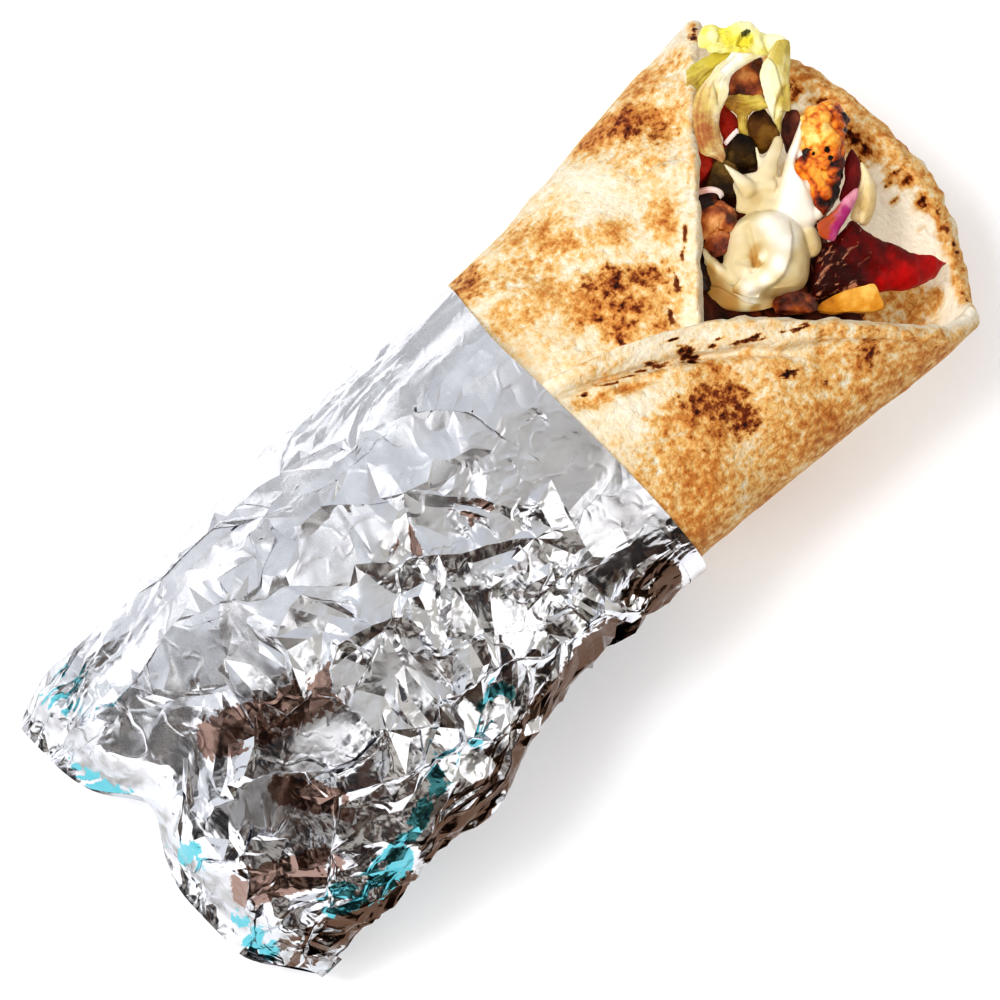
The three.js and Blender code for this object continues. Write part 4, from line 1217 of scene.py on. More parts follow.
# garlic sauce: a dollop with one turn of a swirl, and the runs that reach up to the turkey
sauce = {
    "voxel": 0.3,
    "rounds": 3,
    # two edge lines, height above them and below
    "slabs": [
        ([(74.1, 3.5, 34.6), (71.3, 4.8, 34.4), (68.5, 5.2, 34.2), (66, 4.4, 34), (63.7, 2.6, 34),
          (61.2, 0.5, 34), (60, -1.9, 33.6), (60.2, -5.3, 33.4), (61.7, -8.7, 33)],
         [(75.7, 2, 34.6), (77.2, -0.6, 34.6), (77.9, -3.4, 34.4), (77.4, -6.2, 34.2), (76.1, -8.6, 34),
          (74.5, -11, 33.8), (72.7, -12.6, 33.6), (70.1, -13.7, 33.4), (65.4, -12.3, 33)],
         [3, 5.2, 6.8, 7.4, 7.6, 7.2, 6, 3.4],
         3),
        ([(61.1, 5.9, 34.6), (59.4, 4, 34.2), (57.9, 1.9, 33.4), (57.3, 0.8, 33), (55.8, -0.9, 32.4),
          (55.3, -2.8, 32), (55.1, -5.6, 31.6)],
         [(61.8, 1.4, 34.6), (61, -1.7, 34), (61.3, -5.7, 33), (63.9, -10.2, 32.6), (65.8, -12.6, 32.4),
          (64.9, -12.7, 32), (61.8, -12.1, 31.6)],
         1.6,
         2),
        ([(78.2, -4.5, 34.6), (76.2, -6.6, 34.6), (75, -9.8, 34)],
         [(80.2, -6.4, 34.6), (79.7, -8.5, 34.4), (78.3, -10.6, 34), (76.5, -11.1, 33.8),
          (75, -10.5, 33.8)],
         1.8,
         2),
        ([(94.3, 11.3, 37.4), (91.9, 9.8, 37.6), (89.1, 8.4, 37.4), (85.3, 6.7, 37), (80.9, 4, 36.6),
          (77.2, 2, 36.2), (73.9, 0.4, 36)],
         [(94.6, 11, 37.4), (92.2, 8.9, 37.8), (90.2, 7.1, 38), (86.5, 5.1, 38), (84.4, 3.2, 38),
          (84.4, 0, 37), (83.1, -3.5, 36), (81, -6.4, 35.4), (78.1, -7.5, 35)],
         [1.2, 1.4, 1.8, 2.4, 2.8, 3, 2.4],
         2.4),
        ([(76.3, 11.9, 35), (74.5, 10.7, 35.2), (73.1, 8.5, 35.2), (70.2, 6.2, 35)],
         [(79.7, 9.4, 35.6), (81.9, 8.2, 36), (81.8, 4.8, 36), (77.1, 0.8, 36)],
         [0.5, 0.9, 0.8, 0.7],
         1.6),
    ],
    # middle line and widths
    "threads": [
        ([(83.2, 13.1, 37), (82.3, 11.7, 37.2), (81.4, 10.1, 37), (80.5, 8.3, 36.4), (79.5, 6.5, 36)],
         [0.6, 1, 1.3, 2.6, 4]),
        ([(88, 11.2, 36.6), (85.7, 9.8, 37), (83.2, 8.8, 37), (80.3, 7.3, 36.6)], [1.8, 2.5, 3, 4.6]),
        ([(76, 15, 36.8), (76, 13.4, 37), (76, 11.5, 36.8), (76, 8.7, 36.2), (75.7, 6.2, 36)],
         [0.5, 1.1, 1.8, 3.2, 4.4]),
        ([(60.8, 6, 36.6), (59.8, 2.7, 36.6), (59.9, -0.3, 36.4), (60.7, -3.5, 35.8)], [0.8, 1.8, 2.4, 3]),
        ([(60.8, -3.8, 37.2), (61.1, -6.6, 37), (61.5, -9, 36.2)], [6, 3.8, 0.7]),
        ([(74.3, 7.6, 36), (77.8, 6.5, 36.4), (80.4, 4.6, 37)], [1.6, 2.2, 3]),
        ([(75.7, 3.7, 34.8), (76.5, 1.5, 34.8), (77.3, -0.8, 34.8)], [5, 6, 5]),
        ([(84.4, 1.1, 37.4), (84, -0.4, 37.4), (84.2, -1.1, 36.6)], [3.4, 2.6, 1]),
        ([(87.8, 6.7, 38), (87.9, 4.9, 38), (88, 4.3, 37.6)], [2.4, 1.8, 0.9]),
        ([(82.1, -3.8, 36.2), (82, -5.3, 36), (81.8, -6.4, 35.6)], [3, 3.4, 2]),
    ],
    # where the swirl steps down, seen from above: line, drop, and how far the drop reaches
    "ledges": [
        ([(64.4, -4.9), (66, -3.6), (67.4, -1.5), (69, 0.9), (70.2, 2.9)], 2.6, 3.2),
        ([(62.6, -5.1), (64.3, -5.3), (66.4, -5.2), (68, -3.9)], 1.3, 1.6),
        ([(76.4, -2.7), (74.3, -5.6), (71, -8.3), (67.8, -9.7), (65.2, -9.7), (62.7, -8.9), (60.4, -7.2)],
         1.9,
         4),
        ([(63.8, -2.5), (63.5, -1.4), (63.3, -0.3)], 0.5, 1),
        ([(56, 1.2), (58, -1.7), (58.8, -4.8), (59.5, -7.5), (61.8, -10.4)], 0.7, 2),
    ],
    # how much its cream colour browns at some places: partly the sauce's own tone and partly painted shade,
    # browner in the swirl's crease and on its low skirt and runs
    "warmthAndShade": [
        (71.9, -2.9, 0), (72.6, -0.4, 0.06), (72.2, -5.4, 0), (68, -7.6, 0), (64.1, -7.7, 0.03),
        (61.1, -6.5, 0.06), (60.7, -8.6, 0.06), (74.9, -3.9, 0.12), (72.6, -9.4, 0.55), (71.9, -11.9, 0.6),
        (68.6, -12.3, 0.58), (65.5, -11.8, 0.66), (63.2, -9.8, 0.6), (67.2, 2.5, 0.4), (64.2, 0.7, 0.44),
        (66, -0.6, 0.46), (61.1, -2, 0.4), (65.1, -4.3, 1.2), (65.9, -3.3, 1.1), (66.8, -2.3, 0.8),
        (68.5, -0.1, 0.45), (64.4, -3, 0.42), (66.7, -4.1, 0.15), (64.2, -5.1, 0.25), (62.8, -4.3, 0.3),
        (57.2, -1.3, 1), (58.7, 1.4, 0.9), (57.4, -5.3, 1), (60.4, -9.4, 0.92), (63.7, -11.8, 0.9),
        (60.3, 4.5, 0.4), (60.1, 0.9, 0.3), (80.1, -0.2, 0), (76.8, -1.2, 0.02), (83.7, 2.3, 0),
        (87.8, 6.3, 0), (92.4, 9.5, 0.1), (80, -4, 0.05), (77.4, -8.3, 0.55), (76.8, -10.2, 0.65),
        (74.5, 7.4, 0.5), (75.4, 5.3, 0.62), (78.4, 6.5, 0.42), (82.4, 7.1, 0.4), (86.9, 10, 0.45),
        (76.7, 11, 0.3), (75.4, 2.6, 0.45), (72.4, 4.1, 0.55), (76.1, 12.9, 0.3), (82.8, 11.7, 0.3),
        (79.1, 11.9, 0.35),
    ],
    "stops": [
        (0, (247, 243, 234)),
        (0.2, (238, 228, 206)),
        (0.5, (214, 198, 156)),
        (0.75, (196, 164, 110)),
        (1, (188, 146, 84)),
    ],
}


def buildSauce():
    parts = [slab(*sides, square=2.1, ends=0.16) for sides in sauce["slabs"]]
    for path, width in sauce["threads"]:
        parts.append(chunk(path, width, [w * 0.8 for w in width], square=2, rings=50, around=28))
    points, faces, normals = melted(parts, sauce["voxel"], sauce["rounds"])
    facing = np.clip(normals[:, 2] * 1.6, 0, 1)
    for line, drop, reach in sauce["ledges"]:
        points[:, 2] += facing * ledge(points[:, 0], points[:, 1], line, drop, reach)
    lumps = 0.22 * drift(points, 4.5, 61) + 0.1 * drift(points, 2.0, 62)
    points = points + normals * lumps[:, None]
    return points, faces, {"warm": knotted(points, sauce["warmthAndShade"])}


def sauceFinish():
    f = Finish("creamySauce")
    # partly painted shade: the colour browns in the swirl's crease and on the low parts
    warm = f.mark("warm")
    colour = f.tint(warm + (f.noise(3.5, 3, 0.5) - 0.5) * 0.16, sauce["stops"])
    normal = f.bump(f.noise(0.9, 2, 0.5), 0.06, 0.4)
    return f.surface(colour, (0.3, (1, 0.7, 0.35), 0.0014), (0.2, 0.25), Roughness=0.34, Normal=normal)


# turkey: a roasted strip with a lumpy skin
turkey = {
    "left": [(97, 10.7, 37), (95.1, 11.1, 37), (92.6, 9.5, 37.4), (89.4, 6.1, 37.6), (87.1, 5.1, 37.4),
             (84.9, 3.9, 37), (85.3, 2.2, 36.6), (84.7, 0.5, 36), (83.9, -2.2, 35.2), (82.2, -4.2, 34.4),
             (81.6, -6.3, 33.8)],
    "right": [(99.5, 9.2, 37), (100.6, 7.8, 37), (100.5, 5.3, 37.2), (99.6, 3.5, 37.4), (96.5, 0.9, 37.6),
              (92.8, -2.5, 37), (89.6, -4.6, 36.2), (87.5, -5.9, 35.2), (85.9, -6.4, 34.6),
              (84.6, -6.5, 34.2), (81.7, -6.5, 33.8)],
    "top": [3.2, 4.4, 4.6, 4.4, 4.2, 4, 3.4, 2.6],
    "under": 3.8,
    # where its skin steps down: line, drop, reach
    "ledges": [
        ([(99.7, 7.3), (98, 6.4), (96.2, 5.2), (95.1, 3.4), (95.4, 1.4)], 0.9, 1.6),
        ([(91.7, 8.6), (91.8, 6.8), (92.9, 5.1), (94.9, 4.5)], -0.7, 1.4),
        ([(87.4, 5.3), (88.2, 3.3), (89.9, 1.1), (91, -1.7)], 0.7, 1.6),
        ([(93.3, 9.3), (95, 9.4), (96.9, 8.4)], 0.4, 1),
    ],
    # burnt specks: x, y, reach
    "specks": [(88.7, 4.7, 1), (89.1, 3.1, 0.5), (91.6, 1.7, 0.8), (91, 0.2, 0.7), (90.4, -0.9, 0.6),
               (87.9, 4.8, 0.4), (83.7, -0.9, 0.7), (99.7, 4.4, 1.2), (90.6, -3.7, 1.4), (88.2, -5, 1.5),
               (85.4, -6.2, 1.6), (97.7, 2.2, 0.8)],
    # how brown it is at some places: mostly its roast, partly painted shade, darker along its right edge,
    # which is turned from the light
    "brown": [
        (95, 7.6, 0.05), (94.3, 5.4, 0.15), (95, 9.4, 0.2), (98.7, 5.7, 0.55), (97.2, 3.4, 0.45),
        (99.2, 3.8, 0.9), (98.3, 8.5, 0.2), (91.4, 4.2, -0.1), (94, 2.8, 0.3), (90.6, 6.2, 0.05),
        (91.7, 2.8, 0.2), (87.4, 4.2, 0.75), (93.6, 0.8, 0.4), (85.5, 3.4, 0.35), (87.3, 2.2, 0.2),
        (88.1, -1.2, 0.25), (85.8, -1.8, 0.35), (89.3, -2.9, 0.6), (91.9, -2.2, 0.85), (89.4, -5.1, 1.1),
        (84.6, -1.4, 0.4), (85.7, -4.2, 0.5), (87.3, -5.8, 1.1), (83.1, -4.3, 0.75), (83.9, -5.9, 0.85),
        (81.5, -5.8, 0.8),
    ],
    "stops": [
        (0, (252, 222, 148)),
        (0.2, (242, 182, 80)),
        (0.42, (220, 126, 40)),
        (0.65, (158, 64, 20)),
        (0.88, (84, 28, 12)),
        (1, (40, 16, 10)),
    ],
}


def turkeyKnots(points):
    # two sizes of knots with creases between them, which the relief and the browning share; the browning in
    # the creases is partly painted shade
    bent = points + drift(points, 5, 87)[..., None] * 1.4
    return np.abs(drift(bent, 2.3, 81)), np.abs(drift(points, 1.2, 82))


def turkeyRelief(grid, height):
    knots, nubs = turkeyKnots(grid)
    ledges = sum(ledge(grid[..., 0], grid[..., 1], *item) for item in turkey["ledges"])
    return knots * 0.95 + nubs * 0.42 + 0.5 * drift(grid, 4.2, 83) + ledges * ramp(height, 0, 2) - 0.45


def buildTurkey():
    sides = [turkey[key] for key in ("left", "right", "top", "under")]
    points, faces = slab(*sides, square=2.3, ends=0.09, rings=190, around=150, relief=turkeyRelief)
    knots, nubs = turkeyKnots(points)
    # partly painted shade: the colour is browner in the creases between the knots
    crease = 1 - np.clip(knots * 2.6 + nubs * 1.1, 0, 1)
    tone = knotted(points, turkey["brown"]) + 0.4 * crease + 0.12 * drift(points, 2.4, 84)
    ragged = 1 + 0.6 * drift(points, 0.7, 85)
    burnt = np.zeros(len(points))
    for x, y, reach in turkey["specks"]:
        away = np.hypot(points[:, 0] - x, points[:, 1] - y) / (reach * 0.75 * ragged)
        burnt = np.maximum(burnt, np.exp(-(away**2)) * ramp(points[:, 2], 34, 37))
    return points, faces, {"tone": np.clip(tone, 0, 1.2), "burnt": burnt}


def meatFinish(name, stops):
    f = Finish(name)
    tone, burnt = f.mark("tone"), f.mark("burnt")
    fleck = f.noise(0.8, 4, 0.65)
    broad = f.noise(2.6, 3, 0.6)
    colour = f.tint(tone + (fleck - 0.5) * 0.5 + (broad - 0.5) * 0.35, stops)
    colour = f.mix(colour, rgb(26, 18, 14), (burnt + (fleck - 0.5) * 0.9).step(0.35, 0.6))
    normal = f.bump(fleck * 0.6 + broad * 0.3, 0.3, 0.8)
    return f.surface(colour, (0.12, (1, 0.5, 0.25), 0.001), (0.3, 0.25), Roughness=0.36, Normal=normal)


# torn turkey beside the sauce: flakes between two edge lines, and strips along a path
shreds = {
    # two edge lines, height above them and below
    "flakes": [
        ([(69.7, 10, 36), (67.2, 10.4, 36), (65.1, 9.4, 35.6), (65.8, 7.3, 35.4)],
         [(70.3, 9.2, 36), (70.8, 6.7, 36), (70.1, 5.1, 35.8), (67.8, 5, 35.4)],
         1.8,
         2),
        ([(93.1, 28.3, 34.6), (90.6, 27.1, 34.8), (89, 25.8, 34.8), (87.2, 24.2, 34.4)],
         [(97.9, 25.3, 34.6), (95.6, 23.3, 34.8), (93.6, 21.1, 34.8), (92.2, 18.9, 34.4)],
         1.4,
         2),
        ([(65, -11, 32.8), (63.3, -11.3, 32.8), (62.5, -13, 32.4)],
         [(69.4, -13.1, 32.8), (70.1, -16.7, 32.6), (68.4, -19.2, 32.2)],
         1.4,
         2),
    ],
    # path, widths, heights, rings along it and points round it
    "strips": [
        ([(62.5, 7.1, 34.6), (63.9, 8.5, 35.8), (65.9, 8.7, 36.8), (67.4, 7.7, 37), (67.7, 5.9, 36.4),
          (66.9, 4.7, 35.4)],
         [3.4, 4.6, 5, 5.2, 4.4, 3],
         [3, 4, 4.4, 4.4, 3.8, 3],
         90,
         56),
        ([(65.5, 6.7, 35.6), (64.2, 4.6, 35.2), (62.9, 2.1, 34.6)], [4, 6.4, 5], [3.4, 4, 3.6], 70, 56),
        ([(70.9, 14.1, 34), (68.7, 13, 33.6), (66.9, 10.7, 33.4)], [4, 6, 5], [3, 4, 3.6], 50, 40),
        ([(59, 4.6, 33.6), (56.6, 3.1, 33), (54.2, -0.1, 32.4)], [4, 6, 5], [3, 4, 3.6], 50, 40),
    ],
    # how brown they are at some places
    "brown": [
        (68.9, 8.4, 0.62), (68.2, 6.1, 0.8), (67.2, 9.5, 0.5), (66.3, 7.6, 0.25), (64, 8, 0.42),
        (67.6, 7.2, 0.22), (66.5, 4.9, 0.35), (64, 4.3, 0.66), (63.2, 2.2, 0.72), (68.1, 11.9, 1.1),
        (56.6, 2.5, 1.05), (92.1, 24.5, 0.5), (91.6, 22.1, 0.58), (88.7, 23.8, 0.66), (66.2, -13.5, 0.85),
        (69.1, -15.2, 0.75), (66.2, -16.3, 0.6), (68.4, -17.4, 0.95), (95.3, 24.9, 0.85),
    ],
    "stops": [
        (0, (230, 184, 136)),
        (0.3, (204, 142, 84)),
        (0.55, (164, 92, 50)),
        (0.8, (106, 48, 28)),
        (1, (48, 22, 14)),
    ],
}


def flakeRelief(grid, _):
    knots = np.abs(drift(grid + drift(grid, 4, 97)[..., None], 1.7, 91))
    return 0.55 * knots + 0.3 * drift(grid, 3, 92) + 0.12 * drift(grid, 0.7, 93)


def stripRelief(local):
    return 0.4 * np.abs(drift(local * (0.5, 1, 1), 1.6, 94)) + 0.16 * drift(local, 0.7, 95)


def buildShreds():
    parts = [slab(*sides, relief=flakeRelief) for sides in shreds["flakes"]]
    for path, width, height, rings, around in shreds["strips"]:
        parts.append(chunk(path, width, height, rings=rings, around=around, relief=stripRelief))
    points, faces = joined(parts)
    tone = knotted(points, shreds["brown"]) + 0.3 * drift(points, 1.8, 96)
    burnt = 0.25 * ramp(drift(points, 1.5, 98), 0.3, 0.8)
    return points, faces, {"tone": np.clip(tone, 0, 1.2), "burnt": burnt}


leafMesh = {"rows": 120, "columns": 48, "relief": 0.12}
# lettuce: each leaf's two edge lines and its shape, the folds, how pale it is at some places (its own pale
# ribs and edges, and partly painted highlight), how browned, spots of painted shade, and the colours of
# blade, pale places and stains
lettuce = {
    "lettuceCrown": {
        "leaves": [
            ([(90.5, 36.6, 39.5), (92.6, 37, 40.6), (94.1, 35.6, 41.2), (95.2, 33.8, 41.2),
              (96.3, 33.2, 41.8), (98, 32.2, 42.6), (99.2, 30.7, 42.8), (99.3, 29, 42.6),
              (98.9, 27.5, 42.2), (98, 25.3, 41.4), (97.7, 23.9, 40.6)],
             [(90.1, 36.2, 39.5), (89.1, 34.9, 40), (89.7, 33.5, 40.6), (89.4, 32.5, 40.8),
              (90.2, 31.4, 41), (92.6, 29.3, 41.2), (93.9, 28, 41.2), (95.4, 26.3, 41), (96.1, 24.8, 40.8),
              (97.4, 23.8, 40.4)],
             {"arch": [0.2, 1, 1.2, 0.9, 1.2, 1.2, 0.9, 0.3], "ruffle": 0.35, "waves": 3.2}),
            ([(99.5, 28.9, 40.4), (100.3, 27.2, 40.8), (101.6, 25.7, 41), (102.3, 23.9, 40.8),
              (102.4, 22.5, 40.4)],
             [(97.6, 26.5, 40.2), (97.6, 24.2, 40.2), (98.9, 23.9, 40.4), (100.8, 23.8, 40.6),
              (102.1, 22.5, 40.3)],
             {"arch": 0.6, "ruffle": 0.2, "waves": 1.6}),
        ],
        "folds": [
            ([(97.8, 28.9), (97.3, 30), (96.2, 30.3), (94.8, 30), (93.8, 29.4)], 2.4, 2.4),
            ([(94.6, 29.9), (95.1, 31.4), (96, 32.8)], 1.2, 2),
            ([(96.3, 24.6), (96.8, 26.5), (97.4, 28.2)], 1.3, 1.6),
            ([(89.2, 34.1), (90.9, 33.3), (91.9, 31.4), (93.3, 29.7)], -0.8, 1.6),
            ([(93.8, 34.7), (92.9, 33.3), (91.3, 32.5)], 0.8, 1.6),
            ([(94.4, 27.2), (94.8, 28.4), (96.4, 28.6)], 0.9, 1.4),
            ([(95, 33.3), (93.8, 33), (93.3, 31.7)], -0.6, 1),
        ],
        "pale": [(91.9, 34.2, 0.75), (91.4, 36.5, 0.2), (89.9, 34.1, 0.35), (94.8, 33.4, 0.1),
                 (93.3, 31, 0), (97.5, 31.3, 0.7), (98.8, 30.1, 0.75), (96.1, 31.9, 0.3), (94.7, 29, 0),
                 (96.4, 28.5, -0.1), (97, 26.5, 0.7), (98.3, 27.6, 0.5), (99.8, 25.7, 1),
                 (101.6, 24.6, 0.9), (97, 24.6, 0.3), (91.3, 31.3, 0.4)],
        "brown": [(97, 30, 0), (97.3, 24.6, 0.25), (92.2, 34.5, 0), (101.3, 24.3, 0)],
        # painted shade: dark spots along the slit in the crown's fold
        "deep": [(96.3, 30.2, 0.3), (96.8, 30, 0.36), (97.3, 29.9, 0.38), (97.6, 29.5, 0.34)],
        "colours": ((230, 218, 84), (250, 247, 206), (206, 172, 84)),
        "node": "lettuce_crown",
    },
    "lettuceStrandLeft": {
        "leaves": [
            ([(92.5, 29.2, 41.6), (90.4, 29.1, 41.4), (88.3, 29.5, 41), (86.2, 29.1, 40.2),
              (83.9, 29, 39.4), (82, 28.7, 39), (79.6, 27.3, 38.6), (77.9, 25.6, 38.4), (75.3, 22.1, 38),
              (74.1, 19.4, 37.6), (75.3, 17.3, 37), (76, 15.3, 36.6)],
             [(96.6, 24.2, 41.2), (93.7, 25.3, 41), (90.9, 26, 40.8), (89.1, 26, 40.6), (87.9, 25.3, 40.2),
              (86, 23.8, 39.8), (84, 23.1, 39.2), (81.8, 22, 38.8), (79.4, 19.4, 38.2), (78, 16.8, 37.4),
              (77.4, 15.8, 37), (76.2, 15.2, 36.6)],
             {"arch": [0.4, 1, 1.1, 0.8, 0.6, 0.6, 0.5, 0.4], "ruffle": 0.22, "waves": 2.2}),
        ],
        "folds": [
            ([(85.7, 28.1), (84.5, 25.8), (83, 23.7)], 0.8, 2.2),
            ([(93.2, 28.2), (90.2, 28.3), (87.6, 28.5)], 0.7, 1.8),
            ([(76.8, 17.3), (74.7, 18.3), (74.2, 20)], -0.4, 1.2),
        ],
        "pale": [(94.2, 27.2, 0.7), (91.9, 27.7, 1), (89.1, 27.5, 0.9), (87.1, 26.1, 0.75),
                 (85.4, 24.2, 0.5), (83.9, 26.3, 0.25), (82.3, 27.2, 0), (80.6, 25.2, 0),
                 (82.6, 23.8, 0.35), (77.7, 24, -0.1), (79.5, 21.9, 0.1), (77, 20.4, 0), (75.8, 17.3, 0.25),
                 (81.4, 22.1, 0.5), (94.9, 25, 0.4), (86.6, 28.4, 0.35), (89.2, 29.3, 0.3)],
        "brown": [
            (92.6, 27, 0), (86.4, 25.9, 0), (83.6, 27.6, 0.3), (80.5, 26.8, 0.45), (82.8, 24.5, 0.15),
            (78.9, 24.6, 0.55), (80, 22.3, 0.4), (78.2, 22.2, 0.85), (75.9, 21, 0.8), (78.8, 20.5, 0.6),
            (77.3, 18.4, 0.45), (75.4, 18.3, 0.35), (75.8, 15.9, 0.6), (83.6, 25.8, 0.3),
        ],
        "colours": ((214, 194, 118), (246, 243, 226), (170, 104, 62)),
        "node": "lettuce_strand_left",
    },
    "lettuceStrandRight": {
        "leaves": [
            ([(100.4, 24.6, 41.4), (98.6, 24.2, 41), (96.9, 23.6, 40.6), (94.9, 23.1, 40.2),
              (93.5, 22.2, 39.8), (92.2, 20.3, 39.2), (91.1, 18.3, 38.4), (90.1, 16.1, 37.6),
              (89.6, 14, 36.6), (89, 11.7, 34.6)],
             [(101.9, 23.6, 41.2), (102.2, 22.5, 41), (99.5, 19.6, 40.2), (97.1, 17.6, 39.6),
              (94.3, 14.1, 38), (93.3, 13.2, 37.4), (92.5, 13.9, 37.2), (90.7, 13, 36.2),
              (89.1, 11.5, 34.6)],
             {"arch": [0.4, 0.9, 1.2, 1.2, 0.8, 0.6, 0.5, 0.3], "ruffle": 0.22, "waves": 1.7}),
        ],
        "folds": [
            ([(94.1, 16.2), (95.1, 18.7), (96.4, 20.9), (96.9, 23.6)], -0.9, 2),
            ([(96, 17.2), (93.8, 17), (91.7, 16.1), (88.9, 13.7)], 1.2, 2.6),
        ],
        "pale": [
            (100.2, 22.4, -0.1), (98, 21.6, 0), (97.6, 19.1, 0.25), (95.7, 22.2, 0.8), (93.4, 20.3, 1),
            (93.5, 18.5, 0.9), (91.5, 17.4, 1), (90.4, 15.4, 0.9), (93.3, 15.5, 0.05), (94.8, 16.5, 0.2),
            (90.5, 13.4, 0.1), (90.5, 14.6, 0.6), (99.4, 20.2, 0.4), (94.9, 20, 0.75),
        ],
        "brown": [(100.1, 23.1, 0.25), (96, 21.9, 0), (92.8, 19.4, 0), (94.3, 15.6, 0.3),
                  (89.4, 12.4, 0.35), (90.8, 15.6, 0), (92.8, 13.6, 0.4)],
        "colours": ((200, 182, 96), (246, 242, 204), (142, 118, 56)),
        "node": "lettuce_strand_right",
    },
    "lettuceLeafLow": {
        "leaves": [
            ([(84.6, 33.9, 37), (86.5, 33.6, 37.5), (89.2, 32.9, 38), (91.6, 31.9, 38.4),
              (93.8, 29.9, 38.6)],
             [(81.4, 30.5, 36), (82.7, 29.2, 36.4), (84.8, 29, 37), (87.8, 28.7, 37.6),
              (91.9, 28.9, 38.4)],
             {"arch": 0.9, "ruffle": 0.3, "waves": 1.8}),
        ],
        "folds": [([(90.6, 29.9), (86.6, 30.4), (83, 30.5)], 0.6, 1.8)],
        "pale": [(86.9, 32.3, 0.3), (89.5, 31.5, 0), (83.7, 30.9, 0.35), (91.5, 30.7, 0.1)],
        "brown": [(82.8, 30, 0.6), (89.5, 31.5, 0), (86.3, 30, 0.4)],
        "colours": ((200, 186, 76), (222, 210, 128), (158, 128, 62)),
        "node": "lettuce_leaf_low",
    },
    "lettuceLeafInner": {
        "leaves": [
            ([(85.3, 23.8, 35.5), (86.9, 24.3, 36), (88.2, 23.3, 36.4), (89.7, 21.5, 36.6),
              (91.5, 19.8, 36.6), (91.4, 18.6, 36.4), (91, 17, 36)],
             [(85.2, 23.4, 35.5), (85.2, 21.8, 35.6), (85.7, 20.2, 35.6), (87, 18.7, 35.4),
              (88.1, 18.7, 35.6), (89.3, 17.9, 35.8), (90.8, 17, 35.8)],
             {"arch": 0.9, "ruffle": 0.35, "waves": 2.6}),
            ([(86.2, 20.8, 35.6), (84.5, 19.4, 35.4), (83.4, 18, 35), (83.3, 16.7, 34.6)],
             [(87.6, 19.2, 35.6), (86.1, 18, 35.4), (85.1, 16.9, 35.2), (84.3, 15.8, 34.6)],
             {"arch": 0.7, "ruffle": 0.2, "waves": 1.2}),
        ],
        "folds": [([(90.7, 18.6), (88.5, 20.3), (85.9, 21.7)], 0.5, 1.4)],
        "pale": [(89.5, 20.8, 0.4), (87.2, 20.7, 0), (90.5, 18.9, 0.5), (85.2, 18.4, 0.3)],
        "brown": [(87.6, 20.3, 0.45), (89.8, 20.5, 0), (86.3, 22.6, 0.6), (84.2, 17.7, 0.3)],
        # partly painted shade: these colours are darker than the crown's, as this leaf lies in shade under
        # the crown and strands
        "colours": ((196, 170, 74), (226, 210, 124), (150, 104, 48)),
        "node": "lettuce_leaf_inner",
    },
}


def leafFinish(name, colours, rough):
    f = Finish(name)
    blade, pale, stain = (rgb(*colour) for colour in colours)
    vein = f.noise(1.4, 4, 0.6, 1.2)
    broad = f.noise(4, 3, 0.5, 0.3)
    fine = f.noise(0.5, 2, 0.5)
    streak = f.mark("streak")
    # partly painted highlight: the pale mark lightens places toward the pale colour, besides the leaf's own
    # pale ribs
    lit = (f.mark("pale") + (broad - 0.5) * 0.6 + (vein - 0.5) * 0.3 + streak * 0.08).step(-0.1, 1)
    colour = f.mix(blade, pale, lit)
    stained = f.mark("brown") * 1.1 + (vein - 0.5) * 0.9 - streak * 0.14 + (broad - 0.5) * 0.4
    colour = f.mix(colour, stain, stained.step(0.1, 0.95) * (f.mark("brown") * 3).least(1))
    # painted shade: dark green-grey in the crown's slit, where the deep mark is
    colour = f.mix(colour, rgb(40, 56, 46), f.mark("deep").step(0.3, 0.75) * 0.9)
    normal = f.bump(vein * 0.7 + broad * 0.3 + fine * 0.15 + streak * 0.12, 0.35, 0.7)
    return f.surface(colour, (0.25, (1, 0.9, 0.3), 0.001), (0.15, 0.3), Roughness=rough, Normal=normal)


def buildLeaves(name, item, seed, rough=0.42):
    parts = [
        leaf(first, second, seed + 3 * index, item["folds"], **shape)
        for index, (first, second, shape) in enumerate(item["leaves"])
    ]
    points, faces = joined([part[:2] for part in parts])
    local = np.concatenate([part[2] for part in parts])
    marks = {key: knotted(points, item[key]) for key in ("pale", "brown")}
    fine = 0.5 * drift(local * (5, 13, 1), 1.0, seed + 81)
    marks["streak"] = drift(local * (3, 6, 1), 1.0, seed + 80) + fine
    marks["deep"] = nearSpots(points[:, 0], points[:, 1], item.get("deep", []))
    addPiece(name, (points, faces, marks), leafFinish(name, item["colours"], rough), item["node"])
